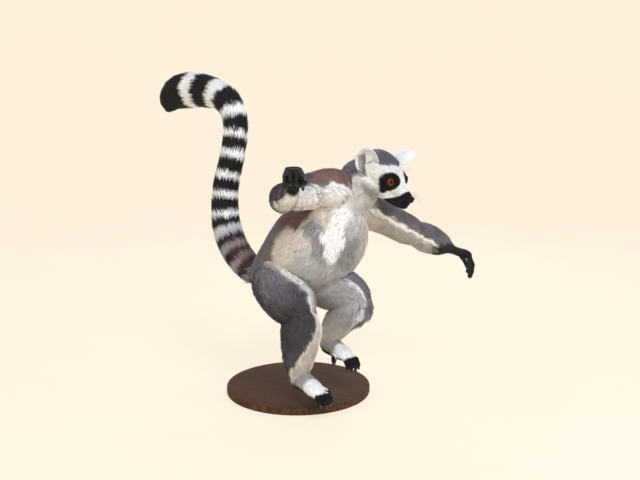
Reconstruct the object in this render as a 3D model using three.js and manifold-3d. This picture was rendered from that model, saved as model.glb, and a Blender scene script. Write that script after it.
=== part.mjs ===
// Ring-tailed lemur in mid-hop, life size, with a display stand.
// Millimetres, +Z up, the animal heads along +X and its left side is +Y.
// The origin is the centre of the stand's underside.
// Every solid of the animal reaches out to the tips of its coat.
import * as THREE from "three";
import { mergeVertices } from "three/addons/utils/BufferGeometryUtils.js";
import Module from "manifold-3d";

const wasm = await Module();
wasm.setup();

// ---- driving dimensions ----
const GAP = 0.3; // clearance between touching nodes

const BASE_RADIUS = 140;
const BASE_THICK = 14;
const BASE_BEVEL = 2.5;
const ROD_RADIUS = 5;
const ROD_AT = { x: 6, y: 6, top: 262 };
const COLLAR_RADIUS = 13;
const COLLAR_HEIGHT = 9;

const HEAD_SIZE = 1.13;
const EYE_RADIUS = 7.6;
const EYE_AT = { x: 31, y: 15.8, z: 1.8 }; // in the head's own frame
const EAR_LENGTH = 47;
const EAR_WIDTH = 37;
const EAR_WALL = 2.4;
const EAR_DEPTH = 9;
const EAR_MIDDLE = 0.36; // where the cup's middle lies, as a share of its length from the root
const EAR_HOLLOW_SHIFT = 6.5; // how far forward of the cup its hollow is set
// Each ear swivels on its own: its root, the way it points and the way its width runs.
const EARS = {
  right: { root: [-7, -28, 3], aim: [-0.2, -0.26, 0.95], across: [0.71, 0.64, 0.33] },
  left: { root: [-3, 24, 14], aim: [0.4, 0.68, 0.6], across: [0.87, -0.49, -0.04] },
};

const HAND_SIZE = 1.16;
const FINGER_RADIUS = 3.8;
const TOE_RADIUS = 4.8;
const BONE_SHARES = [0.42, 0.32, 0.26]; // how a digit's length divides over its three bones
const BONE_TAPERS = [1, 0.94, 0.8]; // the girth at each bone's far end
const BIG_TOE = { y: 6, aim: 40, length: 42, radius: 5.6, bends: [0, 12, 30] };

const COATS = {
  trunk: [0.56, 0.53, 0.51],
  grey: [0.36, 0.34, 0.37],
  face: [0.87, 0.86, 0.84],
  white: [0.88, 0.87, 0.85],
  black: [0.05, 0.05, 0.055],
  iris: [0.75, 0.27, 0.06],
  wood: [0.2, 0.15, 0.12],
  steel: [0.62, 0.62, 0.63],
};

// ---- helpers ----
const radians = THREE.MathUtils.degToRad;
const vector = ([x, y, z]) => new THREE.Vector3(x, y, z);

// A right-handed frame with X along forward and Y as near to left as it can be.
// Its unit is size millimetres.
function frameOf(origin, forward, left, size = 1) {
  const x = vector(forward).normalize();
  const z = x.clone().cross(vector(left)).normalize();
  const y = z.clone().cross(x);
  const turn = new THREE.Matrix4().makeBasis(x, y, z);
  return turn.scale(new THREE.Vector3(size, size, size)).setPosition(vector(origin));
}

function solidOf(geometry) {
  const bare = geometry.clone();
  bare.deleteAttribute("normal");
  bare.deleteAttribute("uv");
  const merged = mergeVertices(bare, 1e-3);
  return new wasm.Manifold(
    new wasm.Mesh({
      numProp: 3,
      vertProperties: merged.attributes.position.array,
      triVerts: new Uint32Array(merged.index.array),
    }),
  );
}

// A ball drawn out along a smooth line. A station is [x, y, z, half width, half depth] and across is the
// direction of the width at the first and the last station. blunt squares off the two ends, and grow
// pushes the whole surface outwards.
function drawn(stations, across, { sides = 12, rows = 10, blunt = 4, frame = null, grow = 0 } = {}) {
  const line = new THREE.CatmullRomCurve3(stations.map(vector), false, "centripetal");
  const girth = new THREE.CatmullRomCurve3(
    stations.map(([, , , wide, deep]) => new THREE.Vector3(wide, deep ?? wide, 0)),
    false,
    "catmullrom",
    0.5,
  );
  const [acrossStart, acrossEnd] = across.map(vector);
  const ball = new THREE.SphereGeometry(1, sides, rows);
  const place = ball.attributes.position;
  for (let i = 0; i < place.count; i++) {
    const height = THREE.MathUtils.clamp(place.getY(i), -1, 1);
    const along = Math.acos(height) / Math.PI;
    const t = line.getUtoTmapping(along);
    const round = Math.pow(1 - Math.pow(Math.abs(2 * along - 1), blunt), 1 / blunt);
    const tangent = line.getTangent(t);
    const side = acrossStart.clone().lerp(acrossEnd, along);
    side.addScaledVector(tangent, -side.dot(tangent)).normalize();
    const front = tangent.clone().cross(side);
    const size = girth.getPoint(t);
    const ringRadius = Math.hypot(place.getX(i), place.getZ(i)) || 1;
    const spot = line
      .getPoint(t)
      .addScaledVector(side, ((size.x + grow) * round * place.getX(i)) / ringRadius)
      .addScaledVector(front, ((size.y + grow) * round * place.getZ(i)) / ringRadius)
      .addScaledVector(tangent, grow * (2 * along - 1));
    place.setXYZ(i, spot.x, spot.y, spot.z);
  }
  if (frame) ball.applyMatrix4(frame);
  return solidOf(ball);
}

function ellipsoid([x, y, z], [rx, ry, rz], { sides = 12, rows = 8, frame, grow = 0 }) {
  const ball = new THREE.SphereGeometry(1, sides, rows);
  ball.rotateX(Math.PI / 2);
  ball.scale(rx + grow, ry + grow, rz + grow);
  ball.translate(x, y, z);
  ball.applyMatrix4(frame);
  return solidOf(ball);
}

const joined = (solids) => solids.reduce((whole, next) => whole.add(next));
const largestBody = (solid) => solid.decompose().reduce((a, b) => (b.volume() > a.volume() ? b : a));

const SIDES = { right: -1, left: 1 };

// ---- the animal's lines and girths ----
const LEFT_AT_PELVIS = [0, 0.99, -0.1];
const LEFT_AT_CHEST = [0.15, 0.86, -0.49];
const HEAD_FRAME = frameOf([168, 47, 430], [0.917, 0.045, -0.39], [-0.02, 0.997, 0.069], HEAD_SIZE);

const TRUNK_LINE = [
  [-62, -50, 202, 30, 30],
  [-48, -41, 218, 49, 48],
  [-15, -16, 247, 70, 70],
  [20, 3, 276, 86, 84],
  [53, 17, 307, 85, 85],
  [79, 23, 347, 74, 70],
  [103, 29, 379, 58, 57],
  [126, 38, 402, 42, 42],
];
const NECK_LINE = [
  [98, 28, 364, 38, 42],
  [112, 34, 391, 41, 46],
  [129, 39, 417, 40, 46],
  [145, 43, 436, 35, 41],
];
const TAIL_LINE = [
  [-54, -38, 230, 24],
  [-92, -38, 234, 30],
  [-131, -44, 264, 32],
  [-165, -43, 316, 31.5],
  [-174, -38, 385, 29],
  [-164, -25, 462, 28],
  [-171, -12, 528, 30.5],
  [-204, -9, 570, 34],
  [-260, -12, 588, 38],
  [-314, -20, 593, 40],
  [-348, -29, 585, 38],
  [-366, -35, 567, 31],
  [-372, -37, 549, 18],
];
const TAIL_CUTS = [0.2, 0.4, 0.6, 0.8];

// Each finger's root in the palm, its splay and its length from there. The fourth is longest.
const OPEN_HAND = [
  { x: 29, y: 10, z: 0.5, aim: 12, length: 38 },
  { x: 29, y: 4, z: 0.5, aim: 4, length: 43 },
  { x: 29, y: -3, z: 0.5, aim: -4, length: 44 },
  { x: 29, y: -9.5, z: 0.5, aim: -13, length: 38 },
];
const FIST = [
  { x: 18, y: 12, z: -2.5, aim: -5, length: 33 },
  { x: 26.3, y: 4.4, z: 1, aim: -1, length: 41 },
  { x: 26.8, y: -3.4, z: 1, aim: 1, length: 41 },
  { x: 18.5, y: -11.2, z: -2.5, aim: 6, length: 33 },
];

// Each limb's lengths run from the body outwards.
const LIMBS = {
  right: {
    thumbSide: 1,
    upperArm: [
      [112, 14, 388, 40, 42],
      [106, -18, 404, 37, 37],
      [88, -46, 403, 31, 30],
      [65, -70, 397, 27, 26],
      [48, -90, 391, 22, 22],
    ],
    forearm: [
      [49, -87, 391, 23, 23],
      [70, -102, 389, 28, 26],
      [95, -118, 391, 25, 23],
      [117, -128, 399, 17.5, 16],
      [131, -134, 408, 12.5, 11.5],
    ],
    hand: frameOf([131, -133, 407], [0.27, -0.25, 0.93], [0.7, 0.7, 0.05], HAND_SIZE * 1.06),
    elbowFold: { centre: [92, -88, 388], radii: [25, 25, 21] },
    fingers: FIST,
    fingerBends: [62, 88, 60],
    thumb: { root: [12, 8, -4], aim: 34, length: 33, radius: 4.1, bends: [38, 45, 45] },
    thigh: [
      [-28, -36, 244, 48, 50],
      [-6, -52, 226, 50, 53],
      [40, -65, 201, 46, 50],
      [82, -70, 186, 40, 42],
      [103, -71, 177, 28, 29],
    ],
    shank: [
      [95, -71, 193, 30, 32],
      [87, -72, 160, 37, 41],
      [82, -71, 126, 33, 36],
      [77, -71, 92, 27, 28],
      [70, -72, 64, 20, 22],
      [66, -72, 48, 13, 15],
    ],
    foot: frameOf([72, -70, 54], [0.99, -0.1, -0.08], [0.1, 0.99, 0]),
    toeBends: [6, 20, 26],
  },
  left: {
    thumbSide: -1,
    upperArm: [
      [108, 44, 370, 36, 38],
      [119, 80, 353, 34, 33],
      [133, 120, 334, 31, 30],
      [146, 157, 315, 31, 29],
      [155, 187, 302, 26, 25],
    ],
    forearm: [
      [142, 150, 318, 25, 24],
      [157, 196, 299, 29, 27],
      [169, 231, 284, 22, 20],
      [176, 250, 274, 13, 12],
      [182, 264, 267, 9, 8],
    ],
    hand: frameOf([178, 258, 270], [0.58, 0.74, -0.33], [-0.75, 0.6, 0.1], HAND_SIZE),
    fingers: OPEN_HAND,
    fingerBends: [50, 24, 8],
    thumb: { root: [10, 6, -2], aim: 52, length: 34, radius: 4.1, bends: [20, 15, 10] },
    thigh: [
      [-14, 6, 240, 48, 50],
      [14, 22, 226, 49, 52],
      [58, 35, 210, 45, 48],
      [105, 47, 197, 38, 40],
      [131, 52, 187, 28, 30],
    ],
    shank: [
      [126, 51, 203, 27, 28],
      [112, 44, 181, 33, 33],
      [82, 36, 152, 30, 31],
      [60, 34, 124, 24, 26],
      [45, 33, 102, 18, 19],
      [37, 33, 88, 12, 14],
    ],
    foot: frameOf([46, 34, 91], [0.99, -0.13, -0.04], [0.13, 0.99, 0]),
    toeBends: [14, 42, 36],
  },
};

// ---- the shapes ----
const trunk = (grow) =>
  drawn(TRUNK_LINE, [LEFT_AT_PELVIS, LEFT_AT_CHEST], { sides: 18, rows: 14, blunt: 5, grow });

const neck = (grow) =>
  drawn(NECK_LINE, [LEFT_AT_CHEST, [0, 0.995, -0.1]], { sides: 13, rows: 7, blunt: 6, grow });

// Loose skin and fur that fills the inside of a bent elbow.
const fold = ({ centre, radii }, grow) =>
  ellipsoid(centre, radii, { sides: 8, rows: 5, frame: new THREE.Matrix4(), grow });

function skull(grow) {
  const frame = HEAD_FRAME;
  const across = [[0, 1, 0], [0, 1, 0]];
  const cranium = [
    [-36, 0, 1, 23, 23],
    [-22, 0, 4, 30, 29],
    [-4, 0, 5, 32, 30],
    [13, 0, 2, 30, 27.5],
    [27, 0, -3, 24, 20],
    [38, 0, -8.5, 16.5, 13.5],
    [49, 0, -12, 12.8, 10.5],
    [60, 0, -16, 10.4, 10.2],
    [68, 0, -18.5, 8.2, 8.8],
  ];
  const jaw = [
    [2, 0, -15, 24, 18],
    [22, 0, -19.5, 20, 17.5],
    [42, 0, -23, 14.5, 14.5],
    [65, 0, -26.5, 10, 10],
  ];
  const whole = [
    drawn(cranium, across, { sides: 16, rows: 15, blunt: 6, frame, grow }),
    drawn(jaw, across, { sides: 10, rows: 6, blunt: 4, frame, grow }),
    ellipsoid([67.5, 0, -13.5], [4.6, 6.6, 5.6], { sides: 8, rows: 5, frame, grow }),
  ];
  for (const side of [1, -1]) {
    whole.push(ellipsoid([1, 16 * side, -12], [23, 18, 19], { sides: 10, rows: 7, frame, grow }));
    whole.push(ellipsoid([22, 14 * side, 9], [10, 10, 7], { sides: 8, rows: 5, frame, grow }));
  }
  return joined(whole);
}

// An ear is a leaf-shaped cup: a flat egg less a smaller one set forward of it.
function ear(name) {
  const side = SIDES[name];
  const { root: at, aim, across } = EARS[name];
  const root = frameOf(at, aim, across);
  const frame = HEAD_FRAME.clone().multiply(root);
  const middle = EAR_LENGTH * EAR_MIDDLE;
  const size = [EAR_LENGTH / 2, EAR_WIDTH / 2, EAR_DEPTH];
  const hollowSize = [size[0] - EAR_WALL, size[1] - EAR_WALL, EAR_DEPTH];
  const outer = ellipsoid([middle, 0, 0], size, { sides: 12, rows: 8, frame });
  const hollowAt = [middle + 1, 0, EAR_HOLLOW_SHIFT * side];
  return outer.subtract(ellipsoid(hollowAt, hollowSize, { sides: 12, rows: 8, frame }));
}

const eye = (side, grow) =>
  ellipsoid([EYE_AT.x, EYE_AT.y * side, EYE_AT.z], [EYE_RADIUS, EYE_RADIUS, EYE_RADIUS], {
    sides: 12,
    rows: 7,
    frame: HEAD_FRAME,
    grow,
  });

// A digit starts inside the palm or sole at root, points aim degrees sideways and bends down at each bone.
function digit(root, aim, length, radius, bends, options) {
  const stations = [[...root, radius, radius]];
  let [x, y, z] = root;
  let fall = 0;
  BONE_SHARES.forEach((share, bone) => {
    fall += radians(bends[bone]);
    x += length * share * Math.cos(fall) * Math.cos(radians(aim));
    y += length * share * Math.cos(fall) * Math.sin(radians(aim));
    z -= length * share * Math.sin(fall);
    const taper = BONE_TAPERS[bone];
    stations.push([x, y, z, radius * taper, radius * taper]);
  });
  const across = [-Math.sin(radians(aim)), Math.cos(radians(aim)), 0];
  return drawn(stations, [across, across], { sides: 6, rows: 6, blunt: 5, ...options });
}


// In the hand's frame X runs along the palm, Z is the back of the hand,
// and thumbSide is the sign of the thumb's Y.
function hand(limb, grow) {
  const { thumbSide, hand: frame, fingers, fingerBends, thumb } = limb;
  const across = [[0, 1, 0], [0, 1, 0]];
  const palm = [
    [-4, 0, 0, 8, 7],
    [8, 0.5 * thumbSide, 0, 10, 8],
    [22, 0, 0, 13, 8],
    [34, 0, 0.5, 13.5, 6.5],
  ];
  const whole = [drawn(palm, across, { sides: 10, rows: 6, blunt: 5, frame, grow })];
  for (const { x, y, z, aim, length } of fingers) {
    const root = [x, y * thumbSide, z];
    whole.push(digit(root, aim * thumbSide, length, FINGER_RADIUS, fingerBends, { frame, grow }));
  }
  const { root, aim, length, radius, bends } = thumb;
  const thumbRoot = [root[0], root[1] * thumbSide, root[2]];
  whole.push(digit(thumbRoot, aim * thumbSide, length, radius, bends, { frame, grow }));
  return joined(whole);
}

const TOES = [
  { y: 9.5, aim: 7, length: 33 },
  { y: 3.5, aim: 2, length: 37 },
  { y: -3.5, aim: -3, length: 39 },
  { y: -10.5, aim: -9, length: 35 },
];

// In the foot's frame X runs from the ankle to the toes, Z is up and the origin is the ankle.
function foot(limb, grow) {
  const { thumbSide, foot: frame, toeBends } = limb;
  const across = [[0, 1, 0], [0, 1, 0]];
  const sole = [
    [-17, 0, 0, 10, 11],
    [-6, 0, 2, 14, 17],
    [14, 0, 3, 16, 18],
    [36, 0, 1, 17.5, 16],
    [56, 0, -3, 18, 12],
    [68, 0, -6, 16, 8],
  ];
  const whole = [drawn(sole, across, { sides: 11, rows: 8, blunt: 5, frame, grow })];
  for (const { y, aim, length } of TOES) {
    const root = [58, y * thumbSide, -5];
    whole.push(digit(root, aim * thumbSide, length, TOE_RADIUS, toeBends, { frame, grow }));
  }
  const { y, aim, length, radius, bends } = BIG_TOE;
  whole.push(digit([30, y * thumbSide, -5], aim * thumbSide, length, radius, bends, { frame, grow }));
  return joined(whole);
}

const limbLength = (stations, across, sides, rows) => (grow) =>
  drawn(stations, [across, across], { sides, rows, blunt: 4, grow });

// ---- the tail, one line cut square into lengths ----
const TAIL_CUT_SIZE = 90;

function tailLengths(trunkGrown) {
  const across = [[0, 1, 0], [0, 1, 0]];
  const whole = drawn(TAIL_LINE, across, { sides: 11, rows: 30, blunt: 8 });
  const line = new THREE.CatmullRomCurve3(TAIL_LINE.map(vector), false, "centripetal");
  const cuts = TAIL_CUTS.map((along) => {
    const place = frameOf(line.getPointAt(along).toArray(), line.getTangentAt(along).toArray(), [0, 1, 0]);
    return solidOf(new THREE.BoxGeometry(GAP, TAIL_CUT_SIZE, TAIL_CUT_SIZE).applyMatrix4(place));
  });
  const free = largestBody(whole.subtract(trunkGrown));
  const middles = [...TAIL_CUTS, 1].map((end, i) => line.getPointAt((end + (TAIL_CUTS[i - 1] ?? 0)) / 2));
  const lengths = free.subtract(joined(cuts)).decompose();
  const gapTo = (piece, middle) => {
    const box = piece.boundingBox();
    return vector(box.min).add(vector(box.max)).multiplyScalar(0.5).distanceTo(middle);
  };
  return middles.map((middle) => lengths.reduce((a, b) => (gapTo(b, middle) < gapTo(a, middle) ? b : a)));
}

// ---- the stand ----
function turned(profile, segments) {
  const points = profile.map(([radius, height]) => new THREE.Vector2(radius, height));
  return new THREE.LatheGeometry(points, segments).rotateX(Math.PI / 2);
}

function standBase() {
  const [radius, bevel, top] = [BASE_RADIUS, BASE_BEVEL, BASE_THICK];
  const profile = [
    [0, 0],
    [radius - bevel, 0],
    [radius, bevel],
    [radius, top - bevel],
    [radius - bevel, top],
    [0, top],
  ];
  return solidOf(turned(profile, 36));
}

function standCollar() {
  const bore = ROD_RADIUS + GAP;
  const profile = [
    [bore, 0],
    [COLLAR_RADIUS, 0],
    [COLLAR_RADIUS, COLLAR_HEIGHT * 0.5],
    [COLLAR_RADIUS - 4, COLLAR_HEIGHT],
    [bore, COLLAR_HEIGHT],
    [bore, 0],
  ];
  const ring = turned(profile, 16).translate(ROD_AT.x, ROD_AT.y, BASE_THICK + GAP);
  return solidOf(ring);
}

function standRod(body) {
  const bottom = BASE_THICK + GAP;
  const rod = new THREE.CylinderGeometry(ROD_RADIUS, ROD_RADIUS, ROD_AT.top - bottom, 16)
    .rotateX(Math.PI / 2)
    .translate(ROD_AT.x, ROD_AT.y, (ROD_AT.top + bottom) / 2);
  return largestBody(body.reduce((rest, part) => rest.subtract(part(GAP)), solidOf(rod)));
}

// ---- putting the nodes together ----
const animal = new THREE.Group();
const colourOf = (name) => new THREE.Color().setRGB(...COATS[name]);

function geometryOf(solid) {
  const { vertProperties, triVerts, numProp, numVert } = solid.getMesh();
  const places = new Float32Array(numVert * 3);
  for (let i = 0; i < numVert; i++)
    places.set(vertProperties.subarray(i * numProp, i * numProp + 3), i * 3);
  const geometry = new THREE.BufferGeometry();
  geometry.setAttribute("position", new THREE.BufferAttribute(places, 3));
  geometry.setIndex(new THREE.BufferAttribute(triVerts, 1));
  geometry.computeVertexNormals();
  return geometry;
}

function node(name, solid, colour, roughness = 0.9, metalness = 0, group = animal) {
  const material = new THREE.MeshStandardMaterial({ color: colourOf(colour), roughness, metalness });
  const mesh = new THREE.Mesh(geometryOf(solid), material);
  mesh.name = name;
  group.add(mesh);
}

// A shape less its neighbours grown by the gap, so that it meets them along their own surface.
const fitted = (shape, neighbours) =>
  largestBody(neighbours.reduce((rest, other) => rest.subtract(other(GAP)), shape(0)));

node("trunk", trunk(0), "trunk");

const eyes = Object.values(SIDES).map((side) => (grow) => eye(side, grow));
const thighs = [];
node("head", fitted(skull, eyes), "face");
node("neck", fitted(neck, [trunk, skull]), "white");
for (const [side, way] of Object.entries(SIDES)) {
  node(`eye_${side}`, eye(way, 0), "iris", 0.08);
  node(`ear_${side}`, fitted(() => ear(side), [skull, neck]), "white");

  const limb = LIMBS[side];
  const arms = new THREE.Group();
  const legs = new THREE.Group();
  animal.add(arms, legs);
  const upperArm = limbLength(limb.upperArm, [0.6, 0, 0.8], 12, 8);
  const forearmLength = limbLength(limb.forearm, [0.3, 0, 1], 11, 8);
  const forearm = (grow) => {
    const folds = limb.elbowFold ? [fold(limb.elbowFold, grow)] : [];
    return joined([forearmLength(grow), ...folds]);
  };
  const thigh = limbLength(limb.thigh, [0, 1, 0], 14, 9);
  const shank = limbLength(limb.shank, [0, 1, 0], 12, 9);
  node(`upper_arm_${side}`, fitted(upperArm, [trunk, neck]), "grey", 0.9, 0, arms);
  node(`forearm_${side}`, fitted(forearm, [upperArm, trunk]), "grey", 0.9, 0, arms);
  node(`hand_${side}`, fitted((grow) => hand(limb, grow), [forearm]), "black", 0.7, 0, arms);
  node(`thigh_${side}`, fitted(thigh, [trunk, ...thighs]), "grey", 0.9, 0, legs);
  thighs.push(thigh);
  node(`shank_${side}`, fitted(shank, [thigh, trunk]), "grey", 0.9, 0, legs);
  node(`foot_${side}`, fitted((grow) => foot(limb, grow), [shank]), "white", 0.8, 0, legs);
}
tailLengths(trunk(GAP)).forEach((piece, i) => node(`tail_${i + 1}`, piece, i % 2 ? "white" : "black"));

node("stand_base", standBase(), "wood", 0.5);
node("stand_collar", standCollar(), "steel", 0.35, 1);
node("stand_rod", standRod([trunk, ...thighs]), "steel", 0.35, 1);

export default animal;
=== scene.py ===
# %% [markdown]
# # A ring-tailed lemur in mid-hop, life size
# The animal is one skin with a coat of solid fur locks over it, two eyes, nails and whiskers, on a turned
# stand. Every length below is in millimetres until the last step of a mesh, which turns it into metres.

# %% The frame and the tools
import bmesh
import bpy
import math
import numpy as np
from functools import partial
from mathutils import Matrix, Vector
from mathutils.bvhtree import BVHTree
from mathutils.kdtree import KDTree


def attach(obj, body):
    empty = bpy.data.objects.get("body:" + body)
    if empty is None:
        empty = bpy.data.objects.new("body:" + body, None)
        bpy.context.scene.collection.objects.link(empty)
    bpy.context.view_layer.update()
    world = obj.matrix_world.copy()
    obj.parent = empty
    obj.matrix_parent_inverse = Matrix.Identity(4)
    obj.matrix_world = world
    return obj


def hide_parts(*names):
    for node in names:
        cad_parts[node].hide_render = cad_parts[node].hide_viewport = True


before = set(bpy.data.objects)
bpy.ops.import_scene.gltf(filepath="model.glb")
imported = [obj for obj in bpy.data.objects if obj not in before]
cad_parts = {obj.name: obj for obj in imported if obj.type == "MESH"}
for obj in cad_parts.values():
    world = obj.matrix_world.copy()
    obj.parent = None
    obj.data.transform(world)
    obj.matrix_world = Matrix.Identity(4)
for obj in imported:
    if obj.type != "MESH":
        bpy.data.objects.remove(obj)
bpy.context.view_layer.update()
MM = 0.001
print("CAD nodes:", len(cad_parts))

# %% [markdown]
# ## Colours
# A lemur's coat has few hues: slate grey with a warm cast, a brown wash over the shoulders, cream and
# white underneath, and a black that is never quite black. Each is kept as the hex value a painter would
# pick, and one function turns it into the linear light that shaders count in.

# %% The palette


def linear(hex_value):
    steps = [int(hex_value[i : i + 2], 16) / 255 for i in (1, 3, 5)]
    return np.array([s / 12.92 if s <= 0.04045 else ((s + 0.055) / 1.055) ** 2.4 for s in steps])


PALETTE = {
    "slate": "#77737A",
    "deep slate": "#38353A",
    "pale slate": "#908C95",
    "brown": "#866661",
    "crown": "#625E65",
    # belly greys: partly the coat's own tone, partly painted shade under the body
    "belly": "#BABABA",
    "belly shade": "#939394",
    "inner leg": "#A9A9AA",
    "cream": "#D9D0C6",
    "warm grey": "#A39D96",
    "white": "#FDFDFC",
    "face": "#FCFCFB",
    "cheek": "#DCDBDA",
    # a light grey that stands for painted shade under the jaw and down the throat
    "throat shade grey": "#B0AEAB",
    "black": "#0C0C0E",
    "soft black": "#232226",
    # grey on the backs of hands and toes, brighter where it stands for a painted highlight
    "hand back": "#3D3C44",
    "nose": "#0A090B",
}
PALETTE = {name: linear(value) for name, value in PALETTE.items()}
print("colours:", len(PALETTE))

# %% [markdown]
# ## Small tools for many points at once
# The coat has tens of thousands of locks, so everything is worked out for whole arrays of points.
# `ease` fades from 0 to 1 between two limits, `mix` blends two colours, and `grain` is a smooth random
# value in space: random numbers on a grid, blended between the grid's corners. Its seed is fixed, so the
# animal is the same each time.

# %% Array helpers


def unit(v):
    v = np.asarray(v, float)
    return v / np.maximum(np.linalg.norm(v, axis=-1, keepdims=True), 1e-9)


def ease(low, high, x):
    t = np.clip((np.asarray(x, float) - low) / (high - low), 0, 1)
    return t * t * (3 - 2 * t)


def between(start, end, soft, x):
    """1 from start to end and 0 elsewhere, with edges that fade."""
    return ease(start - soft, start + soft, x) - ease(end - soft, end + soft, x)


def mix(first, second, share):
    """A blend of two colours. Each is an array, or the name of a colour in the palette."""
    first, second = (PALETTE[colour] if isinstance(colour, str) else colour for colour in (first, second))
    share = np.asarray(share, float)[..., None]
    return first * (1 - share) + second * share


SCATTER = (73856093, 19349663, 83492791, 2654435, 1274126177)
LOW_BITS = 65535


def grain(points, size, seed):
    """A smooth random value of -1 to 1 at each point, in patches of about this size.

    Large odd numbers scatter the grid's corners, so that each one gets a value of its own.
    """
    cells = points / size + 100.0
    corner = np.floor(cells).astype(np.int64)
    part = cells - corner
    part = part * part * (3 - 2 * part)
    total = np.zeros(len(points))
    for i in (0, 1):
        for j in (0, 1):
            for k in (0, 1):
                x, y, z = (corner + (i, j, k)).T
                h = (x * SCATTER[0]) ^ (y * SCATTER[1]) ^ (z * SCATTER[2]) ^ (seed * SCATTER[3])
                h = (h ^ (h >> 13)) * SCATTER[4]
                value = ((h ^ (h >> 16)) & LOW_BITS) / (LOW_BITS / 2) - 1
                weight = np.prod(np.where((i, j, k), part, 1 - part), axis=1)
                total += value * weight
    return total


def frame_of(origin, forward, left, size=1.0):
    """A frame with X along forward and Y close to left, as a 4 by 4 matrix."""
    x = unit(forward)
    z = unit(np.cross(x, left))
    y = np.cross(z, x)
    place = np.eye(4)
    place[:3, :3] = np.stack([x, y, z], axis=1) * size
    place[:3, 3] = origin
    return place


def into(place, points):
    return np.asarray(points, float) @ place[:3, :3].T + place[:3, 3]


def out_of(place, points):
    return (np.asarray(points, float) - place[:3, 3]) @ np.linalg.inv(place[:3, :3]).T


print("three samples of grain:", grain(np.eye(3) * 50, 20, 1).round(2))

# %% [markdown]
# ## The camera
# The animal is seen from its front right and a little from above. The camera stands about 1.4 m away with
# a moderately long lens, so that near and far limbs keep their proportions.

# %% Camera
LENS = 41.46
CAMERA_PLACE = (1.0203, -0.9603, 0.4948)
CAMERA_TARGET = (0.04, 0.02, 0.30)


def new_object(name, data):
    made = bpy.data.objects.new(name, data)
    bpy.context.scene.collection.objects.link(made)
    return made


def aim(thing, place, target):
    thing.location = place
    thing.rotation_euler = (Vector(target) - Vector(place)).to_track_quat("-Z", "Y").to_euler()


view = bpy.data.cameras.new("camera")
view.sensor_width = 36
view.lens = LENS
camera = new_object("camera", view)
aim(camera, CAMERA_PLACE, CAMERA_TARGET)
bpy.context.scene.camera = camera
bpy.context.scene.view_settings.view_transform = "Standard"
print("camera:", round(math.dist(CAMERA_PLACE, CAMERA_TARGET), 2), "m from its target")

# %% [markdown]
# ## Making meshes and materials
# A few helpers do the repeated work. `mesh_piece` makes an object from arrays of points and faces, and
# `set_attribute` and `set_map` label its points and corners. `add_node` adds one node with its settings
# and links, so each material below reads as a list of what it is made of.

# %% Mesh and node helpers


def mesh_piece(name, points, faces, smooth=True):
    """points in millimetres; faces is a list of index lists or an array of triangles."""
    mesh = bpy.data.meshes.new(name)
    if isinstance(faces, np.ndarray):
        count, sides = faces.shape
        mesh.vertices.add(len(points))
        mesh.vertices.foreach_set("co", (np.asarray(points) * MM).astype(np.float32).ravel())
        mesh.loops.add(count * sides)
        mesh.loops.foreach_set("vertex_index", faces.astype(np.int32).ravel())
        mesh.polygons.add(count)
        mesh.polygons.foreach_set("loop_start", np.arange(0, count * sides, sides, dtype=np.int32))
        mesh.update(calc_edges=True)
    else:
        mesh.from_pydata((np.asarray(points) * MM).tolist(), [], faces)
        mesh.update()
    mesh.validate()
    if smooth:
        mesh.polygons.foreach_set("use_smooth", np.ones(len(mesh.polygons), bool))
    return new_object(name, mesh)


def set_attribute(mesh, name, kind, values):
    """Gives every point of a mesh a number, a direction or a colour."""
    field = {"FLOAT": "value", "FLOAT_VECTOR": "vector", "FLOAT_COLOR": "color"}[kind]
    layer = mesh.attributes.new(name, kind, "POINT")
    layer.data.foreach_set(field, np.asarray(values, np.float32).ravel())


def set_map(mesh, name, places):
    """Gives every corner of a mesh its place on a flat map."""
    layer = mesh.uv_layers.new(name=name)
    layer.data.foreach_set("uv", places.astype(np.float32).ravel())


def rgba(hex_value):
    return (*linear(hex_value).tolist(), 1.0)


def add_node(tree, kind, settings=None, stops=(), **inputs):
    """Adds a node with its settings, inputs and, on a colour ramp, its stops.

    An input that is a (node, output name) pair is linked, and any other is set. `_0` means the first
    input, for nodes whose inputs share a name.
    """
    node = tree.nodes.new(kind)
    for key, value in (settings or {}).items():
        setattr(node, key, value)
    for number, (position, hex_value) in enumerate(stops):
        marks = node.color_ramp.elements
        if number == 0:
            marks.remove(marks[-1])
            marks[0].position = position
        mark = marks.new(position) if number else marks[0]
        mark.color = rgba(hex_value)
    for key, value in inputs.items():
        socket = node.inputs[int(key[1:])] if key[0] == "_" else node.inputs[key.replace("_", " ")]
        if isinstance(value, tuple) and len(value) == 2 and isinstance(value[0], bpy.types.Node):
            tree.links.new(value[0].outputs[value[1]], socket)
        else:
            socket.default_value = value
    return node


def new_material(name):
    """An empty material, and `add_node` bound to its tree."""
    material = bpy.data.materials.new(name)
    material.use_nodes = True
    material.node_tree.nodes.clear()
    return material, partial(add_node, material.node_tree)


def finished(material, surface):
    add_node(material.node_tree, "ShaderNodeOutputMaterial", Surface=(surface, "BSDF"))
    return material


print("orange as shaders count it:", [round(value, 3) for value in rgba("#9A3C0E")])

# %% [markdown]
# ## The body's lines
# Under its coat an animal is a set of tapering rods: a trunk, a neck, four limbs of two lengths each and a
# long tail. Each is a smooth line through a few stations, with a half width and a half depth at each. The
# same numbers shape the skin, point the fur and place the markings, so they're kept once, here.

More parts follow.
